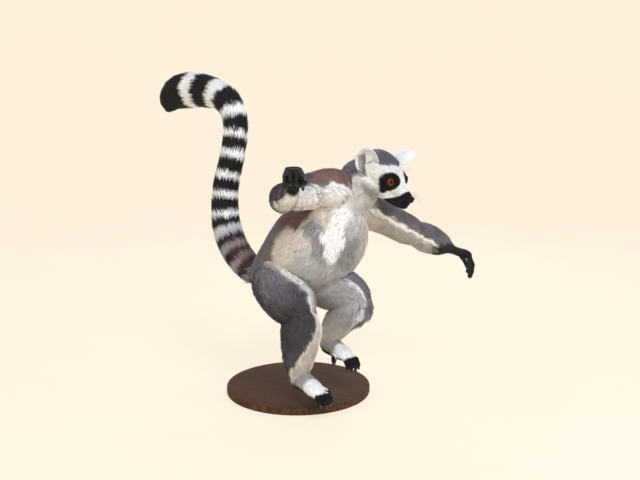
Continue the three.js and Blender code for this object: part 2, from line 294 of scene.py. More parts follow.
# %% Stations of every body part
# A station is x, y, z, half width and half depth. A digit is its root, its heading in degrees and its
# length. Bends are in degrees, joint by joint, towards the palm or the sole.
HEAD = frame_of((168, 47, 430), (0.917, 0.045, -0.39), (-0.02, 0.997, 0.069), 1.13)
LIMBS = {
    "right": {
        "upper_arm": [(112, 14, 388, 40, 42), (106, -18, 404, 37, 37), (88, -46, 403, 31, 30),
                      (65, -70, 397, 27, 26), (48, -90, 391, 22, 22)],
        "forearm": [(49, -87, 391, 23, 23), (70, -102, 389, 28, 26), (95, -118, 391, 25, 23),
                    (117, -128, 399, 17.5, 16), (131, -134, 408, 12.5, 11.5)],
        "thigh": [(-28, -36, 244, 48, 50), (-6, -52, 226, 50, 53), (40, -65, 201, 46, 50),
                  (82, -70, 186, 40, 42), (103, -71, 177, 28, 29)],
        "shank": [(95, -71, 193, 30, 32), (87, -72, 160, 37, 41), (82, -71, 126, 33, 36),
                  (77, -71, 92, 27, 28), (70, -72, 64, 20, 22), (66, -72, 48, 13, 15)],
        "hand": frame_of((131, -133, 407), (0.27, -0.25, 0.93), (0.7, 0.7, 0.05), 1.16 * 1.06),
        "foot": frame_of((72, -70, 54), (0.99, -0.1, -0.08), (0.1, 0.99, 0)),
        "thumb_side": 1,
        "fingers": [((18, 12, -2.5), -5, 33), ((26.3, 4.4, 1), -1, 41),
                    ((26.8, -3.4, 1), 1, 41), ((18.5, -11.2, -2.5), 6, 33)],
        "finger_bends": (62, 88, 60), "thumb": ((12, 8, -4), 34, 33), "thumb_bends": (38, 45, 45),
        "toe_bends": (6, 20, 26),
    },
    "left": {
        "upper_arm": [(108, 44, 370, 36, 38), (119, 80, 353, 34, 33), (133, 120, 334, 31, 30),
                      (146, 157, 315, 31, 29), (155, 187, 302, 26, 25)],
        "forearm": [(142, 150, 318, 25, 24), (157, 196, 299, 29, 27), (169, 231, 284, 22, 20),
                    (176, 250, 274, 13, 12), (182, 264, 267, 9, 8)],
        "thigh": [(-14, 6, 240, 48, 50), (14, 22, 226, 49, 52), (58, 35, 210, 45, 48),
                  (105, 47, 197, 38, 40), (131, 52, 187, 28, 30)],
        "shank": [(126, 51, 203, 27, 28), (112, 44, 181, 33, 33), (82, 36, 152, 30, 31),
                  (60, 34, 124, 24, 26), (45, 33, 102, 18, 19), (37, 33, 88, 12, 14)],
        "hand": frame_of((178, 258, 270), (0.58, 0.74, -0.33), (-0.75, 0.6, 0.1), 1.16),
        "foot": frame_of((46, 34, 91), (0.99, -0.13, -0.04), (0.13, 0.99, 0)),
        "thumb_side": -1,
        "fingers": [((29, 10, 0.5), 12, 38), ((29, 4, 0.5), 4, 43),
                    ((29, -3, 0.5), -4, 44), ((29, -9.5, 0.5), -13, 38)],
        "finger_bends": (50, 24, 8), "thumb": ((10, 6, -2), 52, 34), "thumb_bends": (20, 15, 10),
        "toe_bends": (14, 42, 36),
    },
}
TRUNK = [(-62, -50, 202, 30, 30), (-48, -41, 218, 49, 48), (-15, -16, 247, 70, 70), (20, 3, 276, 86, 84),
         (53, 17, 307, 85, 85), (79, 23, 347, 74, 70), (103, 29, 379, 58, 57), (126, 38, 402, 42, 42)]
NECK = [(98, 28, 364, 38, 42), (112, 34, 391, 41, 46), (129, 39, 417, 40, 46), (145, 43, 436, 35, 41)]
TAIL = [(-54, -38, 230, 24, 24), (-92, -38, 234, 30, 30), (-131, -44, 264, 32, 32),
        (-165, -43, 316, 31.5, 31.5), (-174, -38, 385, 29, 29), (-164, -25, 462, 28, 28),
        (-171, -12, 528, 30.5, 30.5), (-204, -9, 570, 34, 34), (-260, -12, 588, 38, 38),
        (-314, -20, 593, 40, 40), (-348, -29, 585, 38, 38), (-366, -35, 567, 31, 31),
        (-372, -37, 549, 18, 18)]
CRANIUM = [(-36, 0, 1, 23, 23), (-22, 0, 4, 30, 29), (-4, 0, 5, 32, 30), (13, 0, 2, 30, 27.5),
           (27, 0, -3, 24, 20), (38, 0, -8.5, 16.5, 13.5), (49, 0, -12, 12.8, 10.5),
           (60, 0, -16, 10.4, 10.2), (68, 0, -18.5, 8.2, 8.8)]
JAW = [(2, 0, -15, 24, 18), (22, 0, -19.5, 20, 17.5), (42, 0, -23, 14.5, 14.5), (65, 0, -26.5, 10, 10)]
PALM = [(-4, 0, 0, 8, 7), (8, 0.5, 0, 10, 8), (22, 0, 0, 13, 8), (34, 0, 0.5, 13.5, 6.5)]
SOLE = [(-17, 0, 0, 10, 11), (-6, 0, 2, 14, 17), (14, 0, 3, 16, 18), (36, 0, 1, 17.5, 16),
        (56, 0, -3, 18, 12), (68, 0, -6, 16, 8)]
TOES = [((58, 9.5, -5), 7, 33), ((58, 3.5, -5), 2, 37), ((58, -3.5, -5), -3, 39), ((58, -10.5, -5), -9, 35)]
BIG_TOE = ((30, 6, -5), 40, 42)
BIG_TOE_BENDS = (0, 12, 30)
EYE_PLACE = np.array([31, 15.8, 1.8])
EYE_BALL = 7.6
SIDE_OF = {"right": -1, "left": 1}
SIDES = tuple(SIDE_OF.values())


def side_of(name):
    """The side in a part's name, such as right in hand_right."""
    return name.rsplit("_", 1)[1]


print("stations:", len(TRUNK), "in the trunk,", len(NECK), "in the neck,", len(TAIL), "in the tail")

# %% [markdown]
# ## A smooth line through stations
# A centripetal Catmull-Rom curve passes through every station without loops. It's sampled finely, then
# respaced by its own length, so that a share of 0.5 is the middle of the real limb.

# %% Lines
DENSE = 41


def smooth_line(stations, count=121):
    """Even samples along the curve: columns x, y, z, half width, half depth."""
    rows = np.array(stations, float)
    rows = np.vstack([2 * rows[0] - rows[1], rows, 2 * rows[-1] - rows[-2]])
    rows[[0, -1], 3:] = rows[[1, -2], 3:]
    dense = []
    for i in range(1, len(rows) - 2):
        a, b, c, d = rows[i - 1 : i + 3]
        gaps = [max(np.linalg.norm(q[:3] - p[:3]) ** 0.5, 1e-4) for p, q in ((a, b), (b, c), (c, d))]
        start = (b - a) / gaps[0] - (c - a) / (gaps[0] + gaps[1]) + (c - b) / gaps[1]
        end = (c - b) / gaps[1] - (d - b) / (gaps[1] + gaps[2]) + (d - c) / gaps[2]
        start, end = start * gaps[1], end * gaps[1]
        start[3:], end[3:] = (c - a)[3:] / 2, (d - b)[3:] / 2
        t = np.linspace(0, 1, DENSE)[:, None]
        hermite = (2 * t**3 - 3 * t**2 + 1) * b + (t**3 - 2 * t**2 + t) * start
        hermite += (3 * t**2 - 2 * t**3) * c + (t**3 - t**2) * end
        dense.append(hermite[:-1])
    dense = np.vstack([*dense, rows[-2:-1]])
    length = np.r_[0, np.cumsum(np.linalg.norm(np.diff(dense[:, :3], axis=0), axis=1))]
    even = np.linspace(0, length[-1], count)
    return np.stack([np.interp(even, length, column) for column in dense.T], axis=1)


def line_of(stations, across, depth, count=121, place=None):
    """A part's line with its tangents, its sideways directions and its coat's depth at each sample."""
    samples = smooth_line(stations, count)
    tangent = unit(np.gradient(samples[:, :3], axis=0))
    share = np.linspace(0, 1, count)
    first, last = np.asarray(across[0], float), np.asarray(across[1], float)
    side = first * (1 - share[:, None]) + last * share[:, None]
    side = unit(side - tangent * np.sum(side * tangent, axis=1, keepdims=True))
    depth = np.interp(share, np.linspace(0, 1, len(depth)), depth)
    line = {"at": samples[:, :3], "tangent": tangent, "side": side, "size": samples[:, 3:], "depth": depth}
    if place is not None:
        scale = np.linalg.norm(place[:3, 0])
        turn = place[:3, :3] / scale
        line["at"] = into(place, line["at"])
        line["tangent"] = tangent @ turn.T
        line["side"] = side @ turn.T
        line["size"] = line["size"] * scale
        line["depth"] = depth * scale
    line["along"] = np.r_[0, np.cumsum(np.linalg.norm(np.diff(line["at"], axis=0), axis=1))]
    return line


def drawn_out(line, blunt=4, sides=40):
    """A closed tube round a line, its radius less the coat's depth, rounded off at both ends."""
    count = len(line["at"])
    share = np.linspace(0, 1, count)
    rounding = (1 - np.abs(2 * share - 1) ** blunt) ** (1 / blunt)
    turn = np.linspace(0, 2 * math.pi, sides, endpoint=False)
    front = np.cross(line["tangent"], line["side"])
    radius = np.maximum(line["size"] - line["depth"][:, None], 1.0) * rounding[:, None]
    middle = line["at"] - line["tangent"] * (line["depth"] * (2 * share - 1))[:, None]
    rings = middle[:, None] + (
        line["side"][:, None] * (radius[:, :1, None] * np.cos(turn)[None, :, None])
        + front[:, None] * (radius[:, 1:, None] * np.sin(turn)[None, :, None])
    )
    points = rings[1:-1].reshape(-1, 3)
    points = np.vstack([points, middle[:1], middle[-1:]])
    return points, tube_faces(count - 2, sides)


def tube_faces(rings, sides):
    """Triangles of a closed tube whose two last points are its poles."""
    i, j = np.meshgrid(np.arange(rings - 1), np.arange(sides), indexing="ij")
    k = (j + 1) % sides
    a, b, c, d = i * sides + j, i * sides + k, (i + 1) * sides + k, (i + 1) * sides + j
    walls = np.concatenate([np.stack([a, b, c], -1), np.stack([a, c, d], -1)]).reshape(-1, 3)
    ring = np.arange(sides)
    after = (ring + 1) % sides
    top = (rings - 1) * sides
    first = np.stack([np.full(sides, rings * sides), after, ring], -1)
    last = np.stack([np.full(sides, rings * sides + 1), top + ring, top + after], -1)
    return np.concatenate([walls, first, last])


def ball(centre, size, place, shrink=0.0, sides=36, rows=22):
    """A closed egg in a frame."""
    polar = np.linspace(0, math.pi, rows + 1)[1:-1]
    turn = np.linspace(0, 2 * math.pi, sides, endpoint=False)
    radii = np.asarray(size, float) - shrink
    ring = np.stack([
        np.cos(turn)[None] * np.sin(polar)[:, None],
        np.sin(turn)[None] * np.sin(polar)[:, None],
        -np.cos(polar)[:, None] * np.ones(sides)[None],
    ], -1).reshape(-1, 3)
    points = np.vstack([ring, (0, 0, -1), (0, 0, 1)]) * radii + centre
    return into(place, points), tube_faces(rows - 1, sides)


print("tail length:", round(line_of(TAIL, ((0, 1, 0), (0, 1, 0)), (12,))["along"][-1]), "mm")

# %% [markdown]
# ## The bare body
# The coat stands on the skin, so the bare body is thinner than the furry one: about ten millimetres less
# all round on the trunk, and next to nothing on the muzzle, hands and toes. Each part is drawn out along
# its line with that depth taken off.

# %% The lines of the whole body
SIDEWAYS = ((0, 1, 0), (0, 1, 0))
LINES = {
    "trunk": line_of(TRUNK, ((0, 0.99, -0.1), (0.15, 0.86, -0.49)), (7, 9, 10, 10, 9, 8)),
    "neck": line_of(NECK, ((0.15, 0.86, -0.49), (0, 0.995, -0.1)), (8, 8, 7, 6)),
    "tail": line_of(TAIL, SIDEWAYS, (9, 11, 12, 12, 12, 12, 13, 15, 16, 16, 14, 10, 7), 241),
    "head": line_of(CRANIUM, SIDEWAYS, (5, 5, 5, 4.5, 2.6, 1.2, 0.9, 0.7, 0.6), place=HEAD),
}
BLUNT = {"trunk": 5, "neck": 6, "tail": 8, "head": 6}
COAT = {
    "upper_arm": (8, 7, 6, 5),
    "forearm": (6, 6, 4.5, 2.5, 1.5),
    "thigh": (9, 9, 8, 6),
    "shank": (6, 7, 6.5, 5, 3.5, 2.2),
}
ACROSS = {"upper_arm": (0.6, 0, 0.8), "forearm": (0.3, 0, 1), "thigh": (0, 1, 0), "shank": (0, 1, 0)}


def mirrored(stations, way):
    return [(s[0], s[1] * way, *s[2:]) for s in stations]


def digit(root, aim_degrees, length, radius, bends, way):
    """Stations of a finger or toe: three bones, thicker at the knuckles, bending towards the palm."""
    x, y, z = root[0], root[1] * way, root[2]
    heading = math.radians(aim_degrees * way)
    fall = 0.0
    stations = [(x, y, z, radius, radius)]
    for share, bend, girth in zip((0.42, 0.32, 0.26), bends, (1.0, 0.94, 0.82)):
        fall += math.radians(bend)
        step = np.array([
            math.cos(fall) * math.cos(heading),
            math.cos(fall) * math.sin(heading),
            -math.sin(fall),
        ]) * length * share
        middle = np.array([x, y, z]) + step * 0.5
        x, y, z = np.array([x, y, z]) + step
        stations.append((*middle, radius * girth * 0.93, radius * girth * 0.93))
        stations.append((x, y, z, radius * girth * 1.02, radius * girth * 1.02))
    across = (-math.sin(heading), math.cos(heading), 0)
    return stations, (across, across)


DIGITS = []
for name, limb in LIMBS.items():
    for part, depth in COAT.items():
        LINES[f"{part}_{name}"] = line_of(limb[part], (ACROSS[part], ACROSS[part]), depth)
        BLUNT[f"{part}_{name}"] = 4
    way = limb["thumb_side"]
    LINES[f"hand_{name}"] = line_of(mirrored(PALM, way), SIDEWAYS, (0.6,), 61, limb["hand"])
    LINES[f"foot_{name}"] = line_of(mirrored(SOLE, way), SIDEWAYS, (2, 2, 1.6, 1.2, 1, 0.8), 61, limb["foot"])
    BLUNT[f"hand_{name}"] = BLUNT[f"foot_{name}"] = 5
    for end, digits, radius, bends, depth in (
        ("hand", limb["fingers"], 3.8, limb["finger_bends"], 0.25),
        ("hand", [limb["thumb"]], 4.1, limb["thumb_bends"], 0.25),
        ("foot", TOES, 4.8, limb["toe_bends"], 0.4),
        ("foot", [BIG_TOE], 5.6, BIG_TOE_BENDS, 0.5),
    ):
        for root, heading, length in digits:
            shape = digit(root, heading, length, radius, bends, way)
            DIGITS.append((f"{end}_{name}", line_of(*shape, (depth,), 49, limb[end])))
print("lines:", len(LINES), "digits:", len(DIGITS))

# %% [markdown]
# ## Ears
# A lemur's ear is a leaf-shaped cup that swivels on its root. It's made as a thick sheet: a dished front
# and a dished back that meet in a rounded rim. The right one stands up and the left one turns outwards.

# %% Ears
EAR_FRAMES = {
    "right": HEAD @ frame_of((-7, -28, 3), (-0.2, -0.26, 0.95), (0.71, 0.64, 0.33)),
    "left": HEAD @ frame_of((-3, 24, 14), (0.4, 0.68, 0.6), (0.87, -0.49, -0.04)),
}
EAR_MIDDLE = 16.92
EAR_HALF_LENGTH = 22.4
EAR_HALF_WIDTH = 17.4
EAR_DISH = 6.6
EAR_WALL = 1.05
EAR_SIDES = 60


def ear_cup(name):
    side = SIDE_OF[name]
    turn = np.linspace(0, 2 * math.pi, EAR_SIDES, endpoint=False)
    reach = np.sqrt(np.linspace(0.0, 1.0, 17)[1:])
    out = reach[:, None] * np.ones(EAR_SIDES)
    leaf = 1 - 0.10 * ease(0.3, 1.0, np.cos(turn))
    x = EAR_MIDDLE + EAR_HALF_LENGTH * out * np.cos(turn)
    y = EAR_HALF_WIDTH * out * np.sin(turn) * leaf
    dish = -EAR_DISH * (1 - out**2.4) + 1.7 * out**6
    fold = 1.5 * np.exp(-(((y * side + 5.5) / 2.2) ** 2)) * ease(0, 10, x) * (1 - ease(20, 30, x))
    thick = EAR_WALL * np.where(out > 0.97, 0.55, 1.0)
    back, front = (np.stack([x, y, (dish + fold + face * thick) * side], -1) for face in (-1, 1))
    rim = back[-1:] * 0.5 + front[-1:] * 0.5
    rim[..., :2] = (rim[..., :2] - (EAR_MIDDLE, 0)) * 1.035 + (EAR_MIDDLE, 0)
    rings = np.concatenate([back, rim, front[::-1]])
    poles = [(EAR_MIDDLE, 0, (-EAR_DISH + face * EAR_WALL) * side) for face in (-1, 1)]
    points = np.vstack([rings.reshape(-1, 3), poles])
    return into(EAR_FRAMES[name], points), tube_faces(len(rings), EAR_SIDES)


print("ear:", 2 * EAR_HALF_LENGTH, "mm long,", 2 * EAR_HALF_WIDTH, "mm wide")

# %% [markdown]
# ## Every shape under the coat
# Tubes alone leave hollows where a real animal has muscle, so a few balls fill them: the nose pad, the
# back of the near knee, the bend of the near elbow, the middle of the closed hand and the brows. The
# cheeks are lofted like the limbs, because a ball would show as a bulge.

# %% All the shapes under the coat
WORLD = np.eye(4)
CHEEK = [(22, 14, -11, 9, 10), (8, 16, -13, 16.5, 18), (-7, 15.5, -17, 18, 20), (-22, 13, -18, 16, 18),
         (-34, 10, -16, 11, 12)]
FILLERS = [  # part, centre, half sizes, frame and the coat's depth
    ("head", (67.5, 0, -13.5), (4.6, 6.6, 5.6), HEAD, 0.3),
    ("shank_right", (66, -77, 146), (17, 16, 22), WORLD, 0.0),
    ("forearm_right", (90, -90, 388), (26, 26, 22), WORLD, 3.5),
    ("upper_arm_right", (104, -68, 391), (24, 24, 22), WORLD, 4.0),
    ("hand_right", (20.5, 0.5, 0), (13, 15.5, 10), LIMBS["right"]["hand"], 0.3),
]
shapes = []
for name, line in LINES.items():
    shapes.append((name, *drawn_out(line, BLUNT[name])))
for name, line in DIGITS:
    shapes.append((name, *drawn_out(line, 4, 20)))
jaw = line_of(JAW, SIDEWAYS, (4, 3, 1.4, 0.9), place=HEAD)
shapes.append(("head", *drawn_out(jaw, 4)))
for part, centre, size, place, shrink in FILLERS:
    shapes.append((part, *ball(centre, size, place, shrink)))
for side in SIDES:
    cheek = line_of(mirrored(CHEEK, side), SIDEWAYS, (2.5, 4, 4.5, 5, 5), place=HEAD)
    shapes.append(("head", *drawn_out(cheek, 5)))
    shapes.append(("head", *ball((22, 14 * side, 9), (10, 10, 7), HEAD, 2.2)))
for name in SIDE_OF:
    shapes.append((f"ear_{name}", *ear_cup(name)))
PARTS = sorted({name for name, points, faces in shapes})
KINDS = {name: name.rsplit("_", 1)[0] if name.endswith(tuple(SIDE_OF)) else name for name in PARTS}
print("shapes:", len(shapes), "parts:", len(PARTS))

# %% [markdown]
# ## One skin
# Shapes that only touch would show a seam at every joint. Voxel remeshing fills them all with a fine grid
# and wraps one surface round the lot, as clay pressed together would be, and a few rounds of smoothing
# turn the creases into folds. Big soft parts are smoothed more than hands, feet, ears and head.

# %% Wrap one surface round every shape


def joined_shapes(shapes):
    points, faces, owner, start = [], [], [], 0
    for name, part_points, part_faces in shapes:
        points.append(part_points)
        faces.append(part_faces + start)
        owner.append(np.full(len(part_faces), PARTS.index(name)))
        start += len(part_points)
    return np.vstack(points), np.vstack(faces), np.concatenate(owner)


def arrays_of(mesh):
    points = np.empty(len(mesh.vertices) * 3, np.float32)
    mesh.vertices.foreach_get("co", points)
    edges = np.empty(len(mesh.edges) * 2, np.int32)
    mesh.edges.foreach_get("vertices", edges)
    return points.reshape(-1, 3).astype(float) / MM, edges.reshape(-1, 2)


def set_points(mesh, points):
    mesh.vertices.foreach_set("co", (points * MM).astype(np.float32).ravel())
    mesh.update()


def applied(piece):
    """The piece's mesh after its modifiers, which are removed."""
    seen = piece.evaluated_get(bpy.context.evaluated_depsgraph_get())
    made = bpy.data.meshes.new_from_object(seen)
    piece.modifiers.clear()
    return made


def with_modifier(piece, kind, **settings):
    """The piece's mesh after one modifier, as a new mesh."""
    modifier = piece.modifiers.new("step", kind)
    for key, value in settings.items():
        setattr(modifier, key, value)
    return applied(piece)


def spread(values, edges, count):
    """The mean of each point's neighbours."""
    ends = np.concatenate([edges[:, 0], edges[:, 1]])
    others = np.concatenate([edges[:, 1], edges[:, 0]])
    number = np.maximum(np.bincount(ends, minlength=count), 1)
    columns = [np.bincount(ends, weights=column[others], minlength=count) / number for column in values.T]
    return np.stack(columns, axis=1)


def relax(points, edges, strength, times):
    for _ in range(times):
        points = points + (spread(points, edges, len(points)) - points) * strength[:, None]
    return points


def nearest_part(tree, owner, points):
    found = [tree.find_nearest(p)[2] for p in points.tolist()]
    return owner[np.array(found)]


VOXEL = 1.1
BODY_SOFTNESS = 0.6
SOFTNESS = {"head": 0.30, "ear": 0.25, "hand": 0.25, "foot": 0.30}
shape_points, shape_faces, shape_owner = joined_shapes(shapes)
shape_tree = BVHTree.FromPolygons(shape_points.tolist(), shape_faces.tolist())
clay = mesh_piece("clay", shape_points, shape_faces)
wrapped = with_modifier(clay, "REMESH", mode="VOXEL", voxel_size=VOXEL * MM)
bpy.data.objects.remove(clay)
points, edges = arrays_of(wrapped)
part = nearest_part(shape_tree, shape_owner, points)
names = np.array(PARTS)[part]
strength = np.full(len(points), BODY_SOFTNESS)
for start, amount in SOFTNESS.items():
    strength[np.char.startswith(names, start)] = amount
strength = relax(strength[:, None], edges, np.full(len(points), 0.7), 8)[:, 0]
points = relax(points, edges, strength, 5)
body_only = np.where(strength > 0.4, strength, 0.0)
points = relax(points, edges, body_only, 22)
set_points(wrapped, points)
print("wrapped surface:", len(points), "points")

# %% [markdown]
# ## Thinning the skin
# The wrapped surface is as fine on the back as on the nose. The back is hidden under long fur, so a
# Decimate modifier thins it there, and a vertex group keeps the head, ears, hands and feet as they are.

# %% Thin the skin where the coat is long
SKIN_LIMIT = 165000
skin = new_object("skin", wrapped)
thin = skin.vertex_groups.new(name="thin")
firm = strength <= 0.36
for level, chosen in (
    (0.06, firm & np.char.startswith(names, "foot")),
    (0.12, firm & np.char.startswith(names, "head")),
    (0.25, ~firm & (strength <= 0.45)),
    (1.0, strength > 0.45),
):
    thin.add(np.flatnonzero(chosen).tolist(), level, "REPLACE")
triangles_now = 2 * len(wrapped.polygons)
thinned = with_modifier(
    skin, "DECIMATE", ratio=SKIN_LIMIT / triangles_now, vertex_group="thin", vertex_group_factor=1.0
)
skin.vertex_groups.clear()
skin.data = thinned
print("thinned skin:", len(thinned.vertices), "points,", len(thinned.polygons), "faces")

# %% [markdown]
# ## The head's fine shapes
# The grid is a millimetre wide, which is too coarse for an eyelid. The faces round the eyes and the nose
# are cut in four, twice for the lids. Then the points are pushed by rules in the head's own frame, as a
# sculptor would with a small tool: a lid wraps each eyeball and rises on the side of the nose, a low
# ridge runs down the bridge, nostrils are pressed in, and the mouth is a fine groove that turns up at
# its corner.

# %% Cut the face finer
GAZE = unit(np.array([0.69, 0.63, 0.33]))


def eye_axes(side):
    """The eye's centre, and its gaze, forward and upward directions, in the head's frame."""
    gaze = GAZE * (1, side, 1)
    forward = unit(np.array([1, 0, -0.25]) - gaze * np.dot([1, 0, -0.25], gaze))
    up = np.cross(gaze, forward) * -side
    return EYE_PLACE * (1, side, 1), gaze, forward, up


def cut_finer(sculpt, chosen):
    edges = [e for e in sculpt.edges if chosen[e.verts[0].index] and chosen[e.verts[1].index]]
    bmesh.ops.subdivide_edges(sculpt, edges=edges, cuts=1, use_grid_fill=True)
    bmesh.ops.triangulate(sculpt, faces=[f for f in sculpt.faces if len(f.verts) > 3])
    sculpt.verts.index_update()


def in_head(sculpt):
    return out_of(HEAD, np.array([v.co for v in sculpt.verts]) / MM)


def from_gaze(spots, side):
    """Distance from the eyeball's centre, and angle from the gaze in degrees."""
    centre, gaze = eye_axes(side)[:2]
    away = spots - centre
    distance = np.linalg.norm(away, axis=1)
    angle = np.degrees(np.arccos(np.clip(away @ gaze / np.maximum(distance, 1e-6), -1, 1)))
    return distance, angle


sculpt = bmesh.new()
sculpt.from_mesh(skin.data)
bmesh.ops.triangulate(sculpt, faces=sculpt.faces[:])
sculpt.verts.index_update()
for widest, reach, with_nose in ((74, 17, True), (62, 12, False)):
    spots = in_head(sculpt)
    chosen = with_nose & (spots[:, 0] > 61) & (np.abs(spots[:, 1]) < 20)
    for side in SIDES:
        distance, angle = from_gaze(spots, side)
        chosen |= (distance < reach) & (angle < widest)
    cut_finer(sculpt, chosen)
print("after cutting finer:", len(sculpt.verts), "points,", len(sculpt.faces), "triangles")

# %% Shape the lids
LID = 0.75  # thickness over the eyeball
TUCK = 1.3  # how far behind the eyeball's surface the skin goes in the opening
FLAP = 34  # degrees beyond the lid's edge


def lid_limit(spots, side):
    """The angle from the gaze at which the lid's edge lies: almond shaped, wider towards the nose."""
    centre, _, forward, up = eye_axes(side)
    away = spots - centre
    ahead, high = away @ forward, away @ up
    size = np.maximum(np.hypot(ahead, high), 1e-6)
    return 49.5 + 4.0 * (ahead / size) ** 2 - 2.0 * (high / size > 0) * (high / size) ** 2


def shape_lids(spots, side):
    """Wraps the skin round an eyeball: tucked behind it in the opening, a lid's thickness over it outside.

    The lid fades into the face over FLAP degrees, with one fold. Its inner rim is raised, as the side of
    the muzzle is.
    """
    centre, gaze = eye_axes(side)[:2]
    distance, angle = from_gaze(spots, side)
    limit = lid_limit(spots, side)
    near = distance < 22
    hidden, rim = EYE_BALL - TUCK, EYE_BALL + LID
    edge = hidden + (rim - hidden) * ease(limit - 2.5, limit + 2.5, angle)
    fold = 0.35 * np.exp(-(((angle - limit - 17) / 3.5) ** 2))
    fading = rim + (distance - rim) * ease(limit + 4, limit + FLAP, angle) - fold
    target = np.where(angle > limit + 4, fading, edge)
    wrapped = near & (angle < limit + FLAP)
    scale = np.where(wrapped, target / np.maximum(distance, 1e-6), 1.0)
    inward = unit(spots - centre) @ unit((0.50, -0.76 * side, 0.41))
    rise = ease(0.25, 0.75, inward) * ease(limit - 1, limit + 4, angle)
    rise = rise * (1 - ease(limit + 16, limit + 44, angle))
    return centre + (spots - centre) * scale[:, None] + gaze * (2.9 * rise * near)[:, None]


print("lids:", LID, "mm thick")

# %% Shape the bridge, nose and mouth


def mouth_line(x):
    """The height of the mouth's groove: it turns up at its corner."""
    return -27.2 + 1.8 * np.exp(-((x - 35) / 5) ** 2) - 0.03 * (x - 50)


def shape_face(spots):
    for side in SIDES:
        spots = shape_lids(spots, side)
    x, y, z = spots.T
    bridge = np.exp(-((y / 7.0) ** 2)) * ease(18, 26, x) * (1 - ease(42, 52, x)) * ease(-6, 0, z)
    spots += unit((0.35, 0, 0.94)) * (2.0 * bridge)[:, None]
    for side in SIDES:
        from_pit = np.hypot(y - 3.3 * side, z + 14.2)
        pit = np.exp(-((from_pit / 1.3) ** 2)) * (x > 65)
        slit_line = np.hypot((x - 69.4) / 1.7, (z + 13.2 + 0.25 * (x - 69.4)) / 0.8)
        slit = np.exp(-(slit_line**2)) * ((y * side) > 2.2)
        spots[:, 0] -= 2.6 * pit
        spots[:, 1] -= 1.3 * slit * side
    groove = np.exp(-((y / 0.55) ** 2)) * ease(-26.5, -24.5, z) * (1 - ease(-15.6, -14.6, z)) * (x > 65)
    spots[:, 0] -= 0.7 * groove
    lips = np.exp(-(((z - mouth_line(x)) / 0.8) ** 2)) * ease(33, 38, x)
    axis = np.stack([np.minimum(x, 62), np.zeros(len(x)), np.full(len(x), -22.0)], 1)
    spots -= unit(spots - axis) * (1.25 * lips)[:, None]
    return spots


spots = in_head(sculpt)
placed = into(HEAD, shape_face(spots)) * MM
nearby = np.linalg.norm(spots - (20, 0, -5), axis=1) < 75
for vertex, place, moved in zip(sculpt.verts, placed, nearby):
    if moved:
        vertex.co = place
fine_mesh = bpy.data.meshes.new("skin")
sculpt.to_mesh(fine_mesh)
sculpt.free()
skin.data = fine_mesh
fine_mesh.polygons.foreach_set("use_smooth", np.ones(len(fine_mesh.polygons), bool))
fine_mesh.update()
print("skin:", len(fine_mesh.vertices), "points,", len(fine_mesh.polygons), "triangles")

# %% [markdown]
# ## Knowing where a point is on the animal
# A marking such as a tail ring is a rule about a part: so far along it, and on which side of it. Each
# point of the skin gets a weight for every part, blended where parts meet, and each part answers how far
# along its line a point lies and which way out it points. Fur direction comes from the same answers: it
# runs from the nose over the head and down the neck, back and limbs, and out to the tail's tip.

# %% Weights and places on parts
skin_points, skin_edges = arrays_of(fine_mesh)
part = nearest_part(shape_tree, shape_owner, skin_points)
weights = np.zeros((len(skin_points), len(PARTS)))
weights[np.arange(len(part)), part] = 1
for _ in range(7):
    weights = weights * 0.4 + spread(weights, skin_edges, len(skin_points)) * 0.6
weights[weights < 0.02] = 0
weights /= weights.sum(axis=1, keepdims=True)
BLOCK = 20000


def place_on(name, points):
    """How far along its part's line each point is, its share of it, and its direction out from it."""
    line = LINES[name]
    best = np.empty(len(points), int)
    for start in range(0, len(points), BLOCK):
        block = points[start : start + BLOCK]
        gaps = (line["at"] ** 2).sum(1)[None] - 2 * block @ line["at"].T
        best[start : start + BLOCK] = gaps.argmin(axis=1)
    tangent = line["tangent"][best]
    away = points - line["at"][best]
    slide = np.sum(away * tangent, axis=1)
    out = unit(away - tangent * slide[:, None])
    along = line["along"][best] + slide
    share = along / line["along"][-1]
    side, front = line["side"][best], np.cross(tangent, line["side"][best])
    around = np.arctan2(np.sum(out * side, axis=1), np.sum(out * front, axis=1))
    return {
        "along": along, "share": share, "out": out, "tangent": tangent, "around": around,
        "depth": line["depth"][best],
    }


def fur_direction(name, points):
    """Away from the nose tip on the head, away from the root on an ear, and along the line elsewhere."""
    if name == "head":
        spots = out_of(HEAD, points)
        away = unit(spots - (66, 0, -15))
        away[:, 0] -= 0.25
        return away @ unit(HEAD[:3, :3].T)
    if KINDS[name] == "ear":
        ear = EAR_FRAMES[side_of(name)]
        spots = out_of(ear, points)
        return unit(spots - (-14, 0, 0)) @ unit(ear[:3, :3].T)
    backwards = name in ("trunk", "neck")
    return place_on(name, points)["tangent"] * (-1 if backwards else 1)


def blended(points, weights, rule, width):
    """A rule of each part, blended by the points' weights for the parts."""
    total = np.zeros((len(points), width))
    for index, name in enumerate(PARTS):
        chosen = np.flatnonzero(weights[:, index] > 0)
        if len(chosen):
            value = np.asarray(rule(name, points[chosen])).reshape(len(chosen), width)
            total[chosen] += value * weights[chosen, index][:, None]
    return total


def coat_depth(name, points):
    if KINDS[name] == "ear":
        return np.full(len(points), 1.2)
    return place_on(name, points)["depth"]


def mostly(part, weights):
    """True for the points that belong to a part more than to all the others."""
    return weights[:, PARTS.index(part)] > 0.5


print("mean number of parts that a point belongs to:", round((weights > 0).sum(axis=1).mean(), 2))

# %% [markdown]
# ## Markings
# One function paints a point by the part it is on. Skin and coat both ask it, so they can't disagree. The
# edges are ragged because a little `grain` is added before each comparison. The tail's rings are given as
# the lengths along the tail where each black ring starts and ends.

